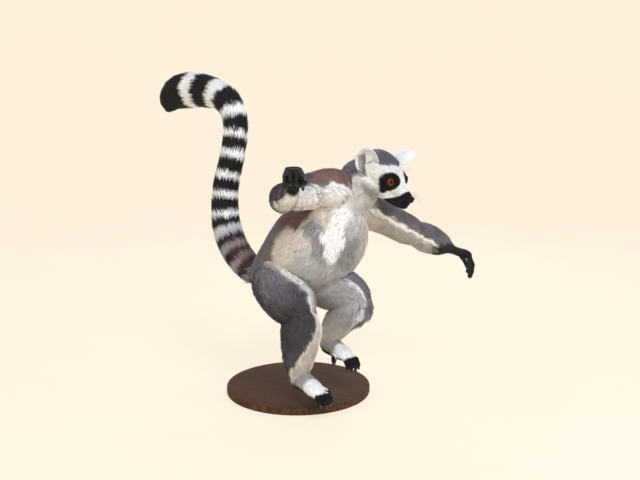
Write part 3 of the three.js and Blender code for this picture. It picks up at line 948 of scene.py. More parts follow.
# %% Where the markings lie: shares of a part's length, with turns about it in degrees
BLACK_RINGS = [(30, 50), (68, 84), (101, 119), (140, 162), (175, 203), (216, 244), (256, 286),
               (302, 326), (339, 367), (388, 426), (454, 498), (527, 700)]
RAGGED = 1.5
WRIST_BANDS = ((0.48, 0.53), (0.62, 0.68), (0.78, 0.85))
FLANK_EDGE = ((0.30, 0.38, 0.50, 0.60, 0.75, 0.90), (104, 88, 84, 99, 104, 106))
BLAZE_LEFT = ((0.56, 0.64, 0.69, 0.745, 0.80, 0.92), (167, 146, 131, 140, 138, 132))
BLAZE_RIGHT = ((0.56, 0.66, 0.73, 0.80, 0.84, 0.92), (169, 170, 175, 165, 170, 176))
LEG_EDGES = {
    "thigh_right": ((0.2, 0.46, 0.74, 1.0), (-6, -20, 2, 4)),
    "shank_right": ((0.0, 0.22, 0.40, 0.60, 0.79, 1.0), (6, 0, -27, -52, -78, -92)),
    "thigh_left": ((0.0, 0.7, 1.0), (-24, -24, -28)),
    "shank_left": ((0.0, 0.2, 0.5, 0.8), (-28, -16, 8, 34)),
}
print("black rings on the tail:", len(BLACK_RINGS))

# %% Paint for each part


def paint_tail(name, points):
    here = place_on(name, points)
    along = here["along"] + 2.2 * grain(points, 8, 11) + 1.0 * grain(points, 3, 12)
    dark = np.zeros(len(points))
    for start, end in BLACK_RINGS:
        dark = np.maximum(dark, between(start, end, RAGGED, along))
    near_body = 1 - ease(85, 185, here["along"])
    light = mix("white", "pale slate", near_body * 0.9)
    deep = mix("black", "soft black", 0.4 + 0.3 * grain(points, 14, 13))
    brown_side = (1 - ease(60, 150, here["along"])) * ease(-0.2, 0.7, here["out"] @ unit((0.8, 0, 0.6)))
    light = mix(light, "brown", brown_side * 0.75)
    deep = mix(deep, PALETTE["brown"] * 0.35, brown_side * 0.6)
    colour = mix(light, deep, dark)
    return mix(colour, PALETTE["brown"] * 0.55, 1 - ease(8, 34, along))


def paint_trunk(name, points):
    """The turn runs from 0 at the spine over the right side to 180 at the belly's middle line."""
    here = place_on(name, points)
    share = here["share"] + 0.03 * grain(points, 18, 21)
    turn = np.degrees(-here["around"]) % 360 + 5 * grain(points, 10, 22) + 3 * grain(points, 4, 24)
    spine = np.minimum(turn, 360 - turn)
    edge = np.interp(share, *FLANK_EDGE)
    back = mix("slate", "brown", ease(0.42, 0.55, share))
    back = mix(back, "deep slate", 0.35 * ease(0.0, 0.8, grain(points, 16, 23)))
    back = mix(back, "deep slate", 0.4 * ease(edge - 28, edge - 6, spine) * ease(0.5, 0.6, share))
    # Low on the belly the cream turns grey, partly as painted shade.
    under = mix("cream", "belly", ease(edge + 24, edge + 50, spine))
    left, right = np.interp(share, *BLAZE_LEFT), np.interp(share, *BLAZE_RIGHT)
    # Beside the white blaze a grey wedge is painted shade.
    beside = ease(left - 30, left - 20, turn) * (1 - ease(right + 20, right + 38, turn))
    beside *= ease(0.54, 0.60, share) * (1 - ease(0.72, 0.78, share))
    under = mix(under, "belly shade", beside)
    blaze = ease(left - 3, left + 3, turn) * (1 - ease(right - 3, right + 3, turn)) * ease(0.56, 0.59, share)
    chest = 0.45 * ease(0.80, 0.90, share)
    under = mix(under, "white", np.maximum(chest, blaze) * ease(edge + 2, edge + 12, spine))
    return mix(back, under, ease(edge - 5, edge + 5, spine))


def paint_neck(name, points):
    here = place_on(name, points)
    away = np.abs(np.degrees(here["around"])) + 8 * grain(points, 10, 31) + 4 * grain(points, 4, 34)
    high = ease(0.15, 0.75, here["share"] + 0.08 * grain(points, 12, 32))
    back = mix("brown", "slate", 0.25 + 0.75 * high)
    # The front of the neck is greyed a little at random, and more towards its underside as painted shade
    # under the chin.
    front = mix("white", "throat shade grey", 0.35 + 0.3 * grain(points, 9, 33) + 0.3 * ease(130, 165, away))
    return mix(back, front, ease(104, 118, away))


def paint_right_arm(part, here, share, ragged, top, under):
    """The raised arm: brown at the shoulder, slate above, pale below, with broken bands by the wrist."""
    if part == "upper_arm":
        facing = here["out"] @ unit((0.45, -0.1, -0.9)) + ragged
        top = mix("brown", top, ease(0.44, 0.60, share + 0.35 * ragged))
        top = mix(top, "slate", ease(0.0, 0.15, facing) * ease(0.3, 0.42, share))
        edge = 0.24 + 0.14 * np.exp(-(((share - 0.45) / 0.08) ** 2))
        under = mix(under, "white", 1 - ease(0.3, 0.5, share))
        return mix(top, under, ease(edge - 0.08, edge + 0.08, facing))
    facing = here["out"] @ unit((0.3, 0.1, -0.95)) + ragged
    facing += 0.7 * ease(0.2, 0.9, here["out"] @ unit((1, 1, 0)))
    colour = mix(top, under, ease(0.08, 0.26, facing))
    for start, end in WRIST_BANDS:
        band = between(start, end, 0.01, share)
        colour = mix(colour, "soft black", 0.8 * band * (1 - ease(0.15, 0.55, facing)))
    return mix(colour, "soft black", ease(0.88, 0.95, share))


def paint_arm(name, points):
    part, side = name.rsplit("_", 1)
    here = place_on(name, points)
    share = here["share"] + 0.02 * grain(points, 5, 44)
    ragged = 0.16 * grain(points, 9, 41) + 0.10 * grain(points, 4, 46)
    mottle = grain(points, 10, 43)
    top = mix("slate", "deep slate", 0.3 + 0.35 * grain(points, 12, 42))
    if side == "right":
        return paint_right_arm(part, here, share, ragged, top, mix("cream", "white", 0.5 + 0.45 * mottle))
    # The far arm's underside is greyer than the near arm's as painted shade.
    under = mix("warm grey", "cream", 0.25 + 0.4 * mottle)
    height = here["out"][:, 2] + ragged
    edge = 0.12 - 0.2 * ease(0.4, 1.0, share) if part == "upper_arm" else -0.08 - 0.15 * share
    fringe = np.exp(-(((height - edge + 0.14) / 0.14) ** 2))
    colour = mix(top, mix(under, "white", fringe), 1 - ease(edge - 0.07, edge + 0.07, height))
    if part == "upper_arm":
        return colour
    glove = share + 0.10 * grain(points, 7, 45) - 0.24 * ease(-0.5, 0.3, height)
    return mix(colour, "soft black", ease(0.42, 0.56, glove))


def paint_leg(name, points):
    """The outside of a leg is slate and its inside pale, with a painted white highlight where they meet."""
    part, side = name.rsplit("_", 1)
    here = place_on(name, points)
    share = here["share"]
    turn = np.degrees(here["around"]) + 9 * grain(points, 9, 51) + 6 * grain(points, 4, 52)
    outer = mix("slate", "pale slate", 0.25 + 0.4 * grain(points, 14, 53))
    # The side facing back and down is darkened as painted shade.
    behind = here["out"] @ unit((-0.8, 0, -0.4)) + 0.3 * grain(points, 9, 56)
    outer = mix(outer, "deep slate", 0.8 * ease(-0.3, 0.6, behind))
    edge = np.interp(share, *LEG_EDGES[name])
    if side == "right":
        low = ease(0.45, 0.95, share) if part == "thigh" else 1 - 0.35 * ease(0.4, 0.9, share)
        outer = mix(outer, "deep slate", 0.9 * low)
        within = ease(edge - 5, edge + 5, turn) * (1 - ease(120, 145, turn))
        inner = mix("warm grey", "cream", 0.5 + 0.4 * grain(points, 10, 54))
        if part == "shank":
            inner = mix(inner, "white", ease(12, 32, turn))
            streak = np.exp(-(((turn - edge - 6) / 7) ** 2)) * 0.4
        else:
            streak = np.exp(-(((turn - edge - 9) / 12) ** 2))
    else:
        within = (1 - ease(edge - 5, edge + 5, turn)) * ease(-165, -145, turn)
        low = ease(0.3, 0.75, share) if part == "shank" else share * 0
        inner = mix("inner leg", "cream", 0.85 * low + 0.1 * grain(points, 12, 55))
        fading = ease(0.7, 0.8, share) if part == "thigh" else 1 - share
        streak = np.exp(-(((turn - edge + 8) / 6) ** 2)) * fading
    # The white streak is a painted highlight along the lit edge.
    return mix(mix(outer, inner, within), "white", 0.9 * streak)


def paint_hand(name, points):
    spots = out_of(LIMBS[side_of(name)]["hand"], points)
    # Grey over the back of the hand: its own grey hair, and on the near fist also a painted highlight over
    # the knuckles, so the far hand gets little of it.
    if name == "hand_right":
        lit = 0.9
        upper = ease(-17, -11, spots[:, 2]) * ease(18, 26, spots[:, 0])
    else:
        lit = 0.3
        upper = ease(0, 5, spots[:, 2])
    return mix("black", "hand back", lit * upper * (0.6 + 0.4 * grain(points, 6, 61)))


def paint_foot(name, points):
    """Grey by the ankle, white over the instep, black on the toes and the sole."""
    limb = LIMBS[side_of(name)]
    x, y, z = out_of(limb["foot"], points).T
    rough = 3.0 * grain(points, 6, 62) + 1.6 * grain(points, 3, 63)
    grey = mix("belly", "belly shade", 0.5 + 0.3 * grain(points, 9, 64))
    top = mix(grey, "white", ease(34, 44, x + rough))
    sole = 1 - ease(-6.5, -3.0, z + 0.06 * (x - 40) + 0.8 * rough)
    toes = ease(68, 73, x + rough)
    great_toe = ease(19, 22, y * limb["thumb_side"] - 0.25 * (x - 40)) * ease(34, 40, x)
    dark = np.maximum(np.maximum(sole, toes), great_toe)
    # The upper side of the toes turns a little grey, partly as painted highlight.
    tone = mix("black", "hand back", 0.5 * ease(0, 4, z) * toes)
    return mix(top, tone, dark)


def paint_ear(name, points):
    """White, with dark strands in the shadow of the near ear's cup and a dark root."""
    side = side_of(name)
    x, y, z = out_of(EAR_FRAMES[side], points).T
    off_middle = np.hypot((x - EAR_MIDDLE) / 22, y / 17)
    inside = ease(-4.2, -1.6, z * SIDE_OF[side] + 6.2 * (1 - off_middle**2) - 2.2)
    colour = mix("white", "cheek", 0.15 + 0.2 * grain(points, 6, 71))
    if side == "right":
        strands = 0.5 + 0.5 * np.sin((x + 0.8 * y) * 1.5 + 1.5 * grain(points, 4, 72))
        rear = ease(0.5, 2.5, -y) * (1 - ease(12.5, 15.0, -y)) * ease(-8, -3, x) * (1 - ease(26, 31, x))
        shadow = rear * inside * (1.0 - 0.3 * ease(4, 13, -y))
        colour = mix(colour, "black", shadow * (0.55 + 0.45 * strands))
    root = (1 - ease(-1, 6, x)) * (0.85 if side == "left" else 0.3)
    return mix(colour, "soft black", root)


def eye_patch(spots, side):
    """The dark almond round an eye with a short tail towards the cheek, from 0 to 1."""
    away = spots - EYE_PLACE * (1, side, 1)
    ahead = away @ unit((0.68, -0.69 * side, 0.24))
    high = away @ unit((-0.47, -0.17 * side, 0.865))
    almond = np.hypot((ahead + 0.8) / 16.4, (high - 0.3) / 14.0)
    tail = np.hypot((ahead + 9.5) / 6.0, (high + 10.0) / 7.0)
    patch = 1 - ease(0.92, 1.04, np.minimum(almond, tail) + 0.05 * grain(spots, 3, 84))
    return patch * (np.linalg.norm(away, axis=1) < 25) * (spots[:, 1] * side > 1.5)


def paint_head(name, points):
    """White with a dark cap over the crown, black patches round the eyes and a black muzzle."""
    spots = out_of(HEAD, points)
    x, y, z = spots.T
    rough = grain(points, 6, 81) + 0.5 * grain(points, 3, 82)
    colour = mix("face", "cheek", 0.25 + 0.3 * grain(points, 12, 83))
    # Under the jaw and behind the cheek the white is greyed as painted shade.
    colour = mix(colour, "throat shade grey", ease(6, 24, -z + 0.15 * rough * 6) * (1 - ease(10, 32, x)))
    cap_edge = 15.0 + 0.50 * np.maximum(x - 8, 0) + 0.20 * np.abs(y) * ease(-5, 15, x)
    cap_edge -= 22 * ease(8, 34, -x)
    cap_edge += 7 * np.exp(-(((x + 1) / 7) ** 2)) * ease(17, 22, np.abs(y))
    cap = ease(-1.5, 1.5, z - cap_edge + 1.6 * rough)
    colour = mix(colour, "crown", cap)
    nape = ease(-1.5, 1.5, -x - 22 - 0.35 * (-4 - z) + 2 * rough) * ease(-20, -12, z)
    colour = mix(colour, "slate", nape)
    for side in SIDES:
        colour = mix(colour, "black", eye_patch(spots, side))
    muzzle_start = np.interp(z, (-31, -27, -19.5, -12, -5), (26, 31, 43, 53.5, 56.5))
    muzzle = ease(-1.2, 1.2, x - muzzle_start + 1.0 * rough)
    return mix(colour, "nose", muzzle)


PAINTERS = {
    "tail": paint_tail, "trunk": paint_trunk, "neck": paint_neck, "head": paint_head, "ear": paint_ear,
    "upper_arm": paint_arm, "forearm": paint_arm, "hand": paint_hand,
    "thigh": paint_leg, "shank": paint_leg, "foot": paint_foot,
}


def paint(name, points):
    return PAINTERS[KINDS[name]](name, points)


def markings(points, weights):
    return np.clip(blended(points, weights, paint, 3), 0.003, 1)


skin_colour = markings(skin_points, weights)
print("markings painted on", len(skin_colour), "points")

# %% [markdown]
# ## The lie of the coat
# Each lock starts at a root on the skin. Roots are drawn by area with a fixed seed, closer together where
# the fur is short. A lock rises from its root, leans over and lies along the body in the direction of the
# fur. Its far end follows the skin's own curve at the coat's depth, so a limb keeps its outline, and the
# ends of neighbouring locks draw together into tufts.

# %% Lock sizes for each part: length, width and spacing
LOCKS = {
    "trunk": (22, 2.0, 1.85), "neck": (15, 1.7, 1.6), "tail": (23, 2.0, 1.7), "head": (8, 1.05, 1.12),
    "ear": (5.5, 0.9, 1.25), "upper_arm": (15, 1.7, 1.6), "forearm": (12, 1.5, 1.42),
    "hand": (4.5, 0.9, 1.5), "thigh": (18, 1.8, 1.7), "shank": (14, 1.6, 1.5), "foot": (7, 1.2, 1.4),
}
rng = np.random.default_rng(20)
print("kinds of coat:", len(LOCKS))

# %% Where the skin is bare


def triangles_of(mesh):
    mesh.calc_loop_triangles()
    corners = np.empty(len(mesh.loop_triangles) * 3, np.int32)
    mesh.loop_triangles.foreach_get("vertices", corners)
    return corners.reshape(-1, 3)


def bare_places(points, weights):
    """1 where the skin is bare: eye openings, nose, lips, palms, soles and the ends of the digits."""
    bare = np.zeros(len(points))
    spots = out_of(HEAD, points)
    for side in SIDES:
        distance, angle = from_gaze(spots, side)
        bare[(distance < 14) & (angle < lid_limit(spots, side) + 5)] = 1
    nose = np.linalg.norm((spots - (68.5, 0, -13.8)) / (5.4, 7.2, 6.2), axis=1) < 1.0
    lips = (np.abs(spots[:, 2] - mouth_line(spots[:, 0])) < 1.3) & (spots[:, 0] > 37)
    bare[mostly("head", weights) & (nose | lips)] = 1
    for name, limb in LIMBS.items():
        x, _, z = out_of(limb["hand"], points).T
        bare[mostly(f"hand_{name}", weights) & ((z < -1.5) | (x > 44) | (z < -0.5 * (x - 30)))] = 1
        x, _, z = out_of(limb["foot"], points).T
        bare[mostly(f"foot_{name}", weights) & ((z < -11.5 - 0.05 * x) | (x > 84))] = 1
    return bare


skin_bare = bare_places(skin_points, weights)
print("bare share of the skin:", round(skin_bare.mean(), 3))

# %% Draw the roots
corners = triangles_of(fine_mesh)
first, second, third = (skin_points[corners[:, i]] for i in range(3))
crossed = np.cross(second - first, third - first)
area = np.linalg.norm(crossed, axis=1) / 2
part_of_face = weights[corners].sum(axis=1).argmax(axis=1)
spacing = np.array([LOCKS[KINDS[name]][2] for name in PARTS])[part_of_face]
middle = (first + second + third) / 3
head_spots = out_of(HEAD, middle)
on_head = part_of_face == PARTS.index("head")
spacing = np.where(on_head, np.interp(head_spots[:, 0], (-25, 5, 40), (1.45, 1.2, 1.0)), spacing)
for name, ear in EAR_FRAMES.items():
    x, y, z = out_of(ear, middle).T
    on_ear = part_of_face == PARTS.index(f"ear_{name}")
    cup = on_ear & (z * SIDE_OF[name] > -4.0) & (np.hypot((x - 16) / 20, y / 14) < 0.85)
    spacing = np.where(cup, 2.1, spacing)
expected = area / spacing**2 * (1 - skin_bare[corners].max(axis=1))
total = np.cumsum(expected)
count = int(total[-1])
picks = (np.arange(count) + rng.random(count)) * total[-1] / count
face = np.searchsorted(total, picks).clip(0, len(total) - 1)
u, v = rng.random(count), rng.random(count)
over = u + v > 1
u, v = np.where(over, 1 - u, u), np.where(over, 1 - v, v)
shares = np.stack([1 - u - v, u, v], axis=1)
tri = corners[face]
roots = np.einsum("nk,nkc->nc", shares, skin_points[tri])
root_weights = np.einsum("nk,nkc->nc", shares, weights[tri])
skin_normals = np.empty(len(skin_points) * 3, np.float32)
fine_mesh.vertex_normals.foreach_get("vector", skin_normals)
skin_normals = skin_normals.reshape(-1, 3).astype(float)
root_normals = unit(np.einsum("nk,nkc->nc", shares, skin_normals[tri]))
root_part = root_weights.argmax(axis=1)
root_kind = np.array([KINDS[name] for name in PARTS])[root_part]
print("locks:", count, {kind: int((root_kind == kind).sum()) for kind in LOCKS})

# %% Direction, length and height of every lock
flow = blended(roots, root_weights, fur_direction, 3)
flow = unit(flow - root_normals * np.sum(flow * root_normals, axis=1, keepdims=True))
across = np.cross(root_normals, flow)
swirl = 0.22 * grain(roots, 28, 91) + 0.14 * grain(roots, 9, 92) + rng.normal(0, 0.06, count)
flow = unit(flow + across * swirl[:, None])
across = np.cross(root_normals, flow)
depth = blended(roots, root_weights, coat_depth, 1)[:, 0]
sizes = np.array([LOCKS[KINDS[name]][:2] for name in PARTS])
length, width = (root_weights @ sizes).T
spots = out_of(HEAD, roots)
face_length = np.interp(spots[:, 0], (-30, -5, 12, 30, 45, 60), (15, 11, 7, 4.6, 3.2, 2.4))
head_share = root_weights[:, PARTS.index("head")]
length = length + (face_length - LOCKS["head"][0]) * head_share
width = width * (1 - head_share * (1 - np.clip(face_length / 8, 0.62, 1.3)))
for name, limb in LIMBS.items():
    sole = out_of(limb["foot"], roots)
    on_foot = mostly(f"foot_{name}", root_weights)
    length = np.where(on_foot, np.interp(sole[:, 0], (-10, 30, 70), (9, 6.5, 4)), length)
length *= 1 + np.clip(rng.normal(0, 0.14, count), -0.3, 0.4)
height = depth * rng.uniform(0.70, 1.06, count)
height = np.minimum(height, length * 0.45)
print("mean lock:", round(length.mean(), 1), "mm long,", round(height.mean(), 1), "mm high at its tip")

# %% [markdown]
# ## Places where the fur stands out
# Most of the coat lies down. A few clumps stand out from the outline: under the tail's root, at the tail's
# tip, behind the hock, along the far knee, in front of the near ankle and down the reaching arm. Each is a
# spot with a reach, how much longer the locks are and how much higher they stand.

# %% Standing clumps
STANDING = [
    ((-58, -48, 212), 22, 1.3, 1.8), ((-372, -38, 545), 22, 1.2, 1.7), ((50, -90, 130), 17, 1.5, 2.0),
    ((140, 55, 190), 28, 1.3, 1.8), ((128, 52, 165), 20, 1.3, 1.6), ((96, -56, 82), 13, 1.4, 1.9),
    ((166, 176, 288), 16, 1.3, 1.8), ((172, 205, 276), 16, 1.3, 1.8), ((60, -84, 62), 14, 1.3, 1.6),
    ((92, -92, 56), 10, 1.3, 1.7), ((78, -90, 60), 9, 1.3, 1.7), ((60, -86, 106), 12, 1.3, 1.7),
]
stand = np.zeros(count)
for place, reach, longer, higher in STANDING:
    near = np.exp(-(np.linalg.norm(roots - place, axis=1) / reach) ** 2)
    near *= ease(-0.1, 0.5, grain(roots, 8, 95) + 0.4)
    length *= 1 + (longer - 1) * near
    height *= 1 + (higher - 1) * near
    stand = np.maximum(stand, near)
print("standing locks:", int((stand > 0.3).sum()))

# %% Follow the skin
STEPS = (0.48, 1.0)
skin_tree = BVHTree.FromPolygons(skin_points.tolist(), corners.tolist())


def follow_skin(points, lift):
    """Points moved to the given height above the nearest skin, and the skin's outward direction there."""
    found = [skin_tree.find_nearest(p)[:2] for p in points.tolist()]
    foot = np.array([tuple(f[0]) for f in found])
    normal = np.array([tuple(f[1]) for f in found])
    return foot + normal * lift[:, None], normal


curl = rng.normal(0, 0.08, count)
middles, surface = [roots - root_normals * 0.35], [root_normals]
for t in STEPS:
    straight = roots + flow * (length * t)[:, None]
    straight += across * (length * curl * t * t)[:, None]
    straight += root_normals * (height * 0.5)[:, None]
    rise = 1 - (1 - t) ** 2
    spot, normal = follow_skin(straight, height * rise * (1 + 0.25 * stand * t))
    middles.append(spot)
    surface.append(unit(normal + root_normals))
middles = np.stack(middles, axis=1)
surface = np.stack(surface, axis=1)
print("steps along each lock:", (0.0, *STEPS))

# %% Draw the ends together
CLUMP_OF = 14
heads = rng.choice(count, count // CLUMP_OF, replace=False)
clump_tree = KDTree(len(heads))
for i, spot in enumerate(roots[heads].tolist()):
    clump_tree.insert(spot, i)
clump_tree.balance()
clump = np.array([clump_tree.find(spot)[1] for spot in roots.tolist()])
lead = middles[heads][clump]
pull = rng.uniform(0.18, 0.42, count) + 0.3 * stand
for step, share in ((1, 0.35), (2, 1.0)):
    middles[:, step] += (lead[:, step] - middles[:, step]) * (pull * share)[:, None]
clump_shade = rng.normal(0, 1, len(heads))[clump]
print("locks:", count, "in", len(heads), "tufts")

# %% [markdown]
# ## The coat's meshes
# A lock is a closed sliver with a flat underside and a ridge along its back: rings of three points and one
# point at its tip. All the locks of a region are joined into one mesh straight from arrays, because that
# many objects would be slow. Each lock carries its colour and how far along itself a point is, a `Strand`
# map for fine hairs across it, and an `OFBake` map in which it is a tiny patch at its root's place on the
# part's own unwrap.

# %% Colours and places on the locks
lock_shade = 1 + 0.05 * np.clip(rng.normal(0, 1, count), -2, 2) + 0.05 * np.clip(clump_shade, -2, 2)
seen_at = roots + flow * (length * 0.5)[:, None]
lock_colour = np.clip(markings(seen_at, root_weights) * lock_shade[:, None], 0.003, 1)
PATCH = 0.0028


def unwrap(name, points):
    """The place of points on the part's own unwrap: along it and around it, each from 0 to 1."""
    if KINDS[name] == "ear":
        x, y, z = out_of(EAR_FRAMES[side_of(name)], points).T
        along, around = (x + 8) / 50, np.arctan2(z, y)
    else:
        here = place_on(name, points)
        along, around = here["share"], here["around"]
    return np.stack([along, around / (2 * math.pi) + 0.5], axis=1).clip(0, 1)


def bake_places(chosen):
    """Each part in the piece gets its own column of the map, and each root its place in it."""
    places = np.zeros((len(chosen), 2))
    inside = np.unique(root_part[chosen])
    for column, index in enumerate(inside):
        mine = root_part[chosen] == index
        flat = unwrap(PARTS[index], roots[chosen][mine])
        places[mine, 0] = (column + 0.02 + 0.96 * flat[:, 0]) / len(inside)
        places[mine, 1] = 0.01 + 0.98 * flat[:, 1]
    return places * (1 - 2 * PATCH) + PATCH


print("mean lock colour:", lock_colour.mean(axis=0).round(2))

# %% Build lock meshes
PROFILE = (0.95, 0.85)
RINGS = len(PROFILE)
POINTS_OF_LOCK = RINGS * 3 + 1
LEAN = 0.55
MOST_TRIANGLES = 200000


def lock_faces(count):
    """Triangles of locks that follow each other in one array of points."""
    walls = []
    for ring in range(RINGS - 1):
        for side in range(3):
            a, b = ring * 3 + side, ring * 3 + (side + 1) % 3
            walls += [(a, b, b + 3), (a, b + 3, a + 3)]
    last = (RINGS - 1) * 3
    tip = RINGS * 3
    walls += [(last, last + 1, tip), (last + 1, last + 2, tip), (last + 2, last, tip), (2, 1, 0)]
    starts = np.arange(count) * POINTS_OF_LOCK
    return (np.array(walls)[None] + starts[:, None, None]).reshape(-1, 3)


def label_locks(mesh, chosen, faces):
    """Gives every lock its colour, how far along it each point is, and its two maps."""
    number = len(chosen)
    steps = np.r_[np.repeat(np.array([0.0, *STEPS])[:RINGS], 3), 1.0]
    crosswise = np.r_[np.tile([0.0, 0.5, 1.0], RINGS), 0.5]
    colour = np.ones((number, POINTS_OF_LOCK, 4), np.float32)
    colour[..., :3] = lock_colour[chosen][:, None]
    set_attribute(mesh, "marking", "FLOAT_COLOR", colour)
    set_attribute(mesh, "along", "FLOAT", np.tile(steps, number))
    bake = bake_places(chosen)[:, None] + np.stack([steps - 0.5, crosswise - 0.5], -1)[None] * PATCH
    strand = np.stack([
        crosswise[None] + rng.integers(0, 400, number)[:, None],
        steps[None] * (length[chosen] / 10)[:, None],
    ], axis=-1)
    for label, places in (("OFBake", bake), ("Strand", strand)):
        set_map(mesh, label, places.reshape(-1, 2)[faces.ravel()])
    mesh.uv_layers["OFBake"].active = True
    mesh.uv_layers["OFBake"].active_render = True


def coat_piece(name, chosen):
    """One mesh for the chosen locks. Their normals follow the skin's, so that a tuft shades as one."""
    number = len(chosen)
    own_middles, own_surface = middles[chosen], surface[chosen]
    wide = width[chosen] * rng.uniform(0.8, 1.2, number)
    ahead = unit(np.gradient(own_middles, axis=1))
    upward = unit(own_surface - ahead * np.sum(own_surface * ahead, -1, keepdims=True))
    sideways = np.cross(upward, ahead)
    half = (wide[:, None] * np.array(PROFILE)[None] * 0.5)[..., None]
    centre = own_middles[:, :RINGS]
    left, top = sideways[:, :RINGS] * half, upward[:, :RINGS] * half * 0.5
    ring_points = np.stack([centre + left, centre + top, centre - left], axis=2)
    points = np.concatenate([ring_points.reshape(number, RINGS * 3, 3), own_middles[:, RINGS:]], axis=1)
    faces = lock_faces(number)
    piece = mesh_piece(name, points.reshape(-1, 3), faces)
    lean = sideways[:, :RINGS, None] * np.array([LEAN, 0.0, -LEAN])[None, None, :, None]
    normals = unit(own_surface[:, :RINGS, None] + lean).reshape(number, RINGS * 3, 3)
    normals = np.concatenate([normals, own_surface[:, RINGS:]], axis=1).reshape(-1, 3)
    piece.data.normals_split_custom_set_from_vertices(normals.tolist())
    label_locks(piece.data, chosen, faces)
    print(f"{name}: {number} locks, {len(faces)} triangles")
    assert len(faces) < MOST_TRIANGLES, name
    return piece


print("one lock:", POINTS_OF_LOCK, "points,", len(lock_faces(1)), "triangles")

# %% Sort the locks into regions
root_share = np.zeros(count)
around = np.zeros(count)
for index, name in enumerate(PARTS):
    mine = root_part == index
    if name in LINES and mine.any():
        here = place_on(name, roots[mine])
        root_share[mine] = here["share"]
        around[mine] = np.abs(np.degrees(here["around"]))
on_tail, on_trunk, on_head = (root_kind == kind for kind in ("tail", "trunk", "head"))
above, rear, crown = around < 95, root_share < 0.5, spots[:, 0] < 4
REGIONS = {
    "coat_tail_base": ("coat_bands", on_tail & (root_share < 0.46)),
    "coat_tail_end": ("coat_bands", on_tail & (root_share >= 0.46)),
    "coat_loins": ("coat_trunk", on_trunk & above & rear),
    "coat_shoulders": ("coat_trunk", on_trunk & above & ~rear),
    "coat_belly": ("coat_trunk", on_trunk & ~above & rear),
    "coat_chest": ("coat_trunk", on_trunk & ~above & ~rear),
    "coat_neck": ("coat_white", root_kind == "neck"),
    "coat_crown": ("coat_face", on_head & crown),
    "coat_face": ("coat_face", on_head & ~crown),
    "coat_ears": ("coat_white", root_kind == "ear"),
    "coat_upper_arms": ("coat_grey", root_kind == "upper_arm"),
    "coat_forearms": ("coat_grey", root_kind == "forearm"),
    "coat_thigh_right": ("coat_grey", root_part == PARTS.index("thigh_right")),
    "coat_thigh_left": ("coat_grey", root_part == PARTS.index("thigh_left")),
    "coat_shanks": ("coat_grey", root_kind == "shank"),
    "coat_hands": ("coat_black", root_kind == "hand"),
    "coat_feet": ("coat_white", root_kind == "foot"),
}
coat = {
    name: (coat_piece(name, np.flatnonzero(mine)), slot_name) for name, (slot_name, mine) in REGIONS.items()
}
print("coat pieces:", len(coat))

# %% [markdown]
# ## Fur and skin finishes
# A lock of fur is hundreds of hairs, dark at the root where little light gets in and paler at its tip.
# The fur shader reads the lock's own colour, darkens it towards the root, and scratches hairs along it on
# the `Strand` map. A real hair is about 0.05 mm thick, too fine to show, so a lock is drawn with about
# seven across. Sheen gives the soft edge light of a coat. The skin shader reads the same colour, with
# pebbled bumps and a moist gloss only where the skin is bare. A texture's scale counts how often it
# repeats in a metre.

# %% Fur material


def fur_material(name, roughness, sheen, root_dark):
    """Hair is keratin laid in bundles: a low broad gloss, a soft edge light and a shaded root."""
    material, add = new_material(name)
    marking = add("ShaderNodeAttribute", {"attribute_name": "marking"})
    along = add("ShaderNodeAttribute", {"attribute_name": "along"})
    shade = add("ShaderNodeMapRange", Value=(along, "Fac"), From_Max=0.55, To_Min=root_dark, To_Max=1.04)
    strand = add("ShaderNodeUVMap", {"uv_map": "Strand"})
    stretch = add("ShaderNodeMapping", Vector=(strand, "UV"), Scale=(7.0, 0.8, 1.0))
    hairs = add("ShaderNodeTexNoise", Vector=(stretch, "Vector"), Scale=1.0, Detail=2.0)
    hair_shade = add(
        "ShaderNodeMapRange",
        Value=(hairs, "Fac"), From_Min=0.3, From_Max=0.7, To_Min=0.88, To_Max=1.12,
    )
    both = add("ShaderNodeMath", {"operation": "MULTIPLY"}, _0=(shade, "Result"), _1=(hair_shade, "Result"))
    colour = add(
        "ShaderNodeVectorMath", {"operation": "SCALE"}, _0=(marking, "Color"), Scale=(both, "Value")
    )
    bump = add("ShaderNodeBump", Height=(hairs, "Fac"), Strength=0.3, Distance=0.0002)
    fur = add(
        "ShaderNodeBsdfPrincipled", Base_Color=(colour, "Vector"), Normal=(bump, "Normal"),
        Roughness=roughness, Specular_IOR_Level=0.25, Sheen_Weight=sheen, Sheen_Roughness=0.45,
    )
    return finished(material, fur)


FURS = {  # roughness, sheen and the root's share of the tip's brightness
    "coat_trunk": fur_material("trunk_fur", 0.80, 0.10, 0.74),
    "coat_grey": fur_material("limb_fur", 0.80, 0.10, 0.72),
    "coat_bands": fur_material("tail_fur", 0.78, 0.08, 0.74),
    "coat_face": fur_material("head_fur", 0.82, 0.08, 0.82),
    "coat_white": fur_material("pale_fur", 0.82, 0.10, 0.82),
    "coat_black": fur_material("hand_fur", 0.75, 0.03, 0.75),
}
for piece, slot_name in coat.values():
    piece.data.materials.append(FURS[slot_name])
print("kinds of fur:", len(FURS))

# %% Skin material
# Under the coat the skin's colour is darkened to this share, as painted shade from the fur above it.
UNDER_COAT = 0.82
colour = np.ones((len(skin_points), 4), np.float32)
colour[:, :3] = skin_colour * np.where(skin_bare[:, None] > 0, 1.0, UNDER_COAT)
set_attribute(fine_mesh, "marking", "FLOAT_COLOR", colour)
bare_smooth = spread(skin_bare[:, None], skin_edges, len(skin_points))[:, 0] * 0.5 + skin_bare * 0.5
set_attribute(fine_mesh, "bare", "FLOAT", bare_smooth)


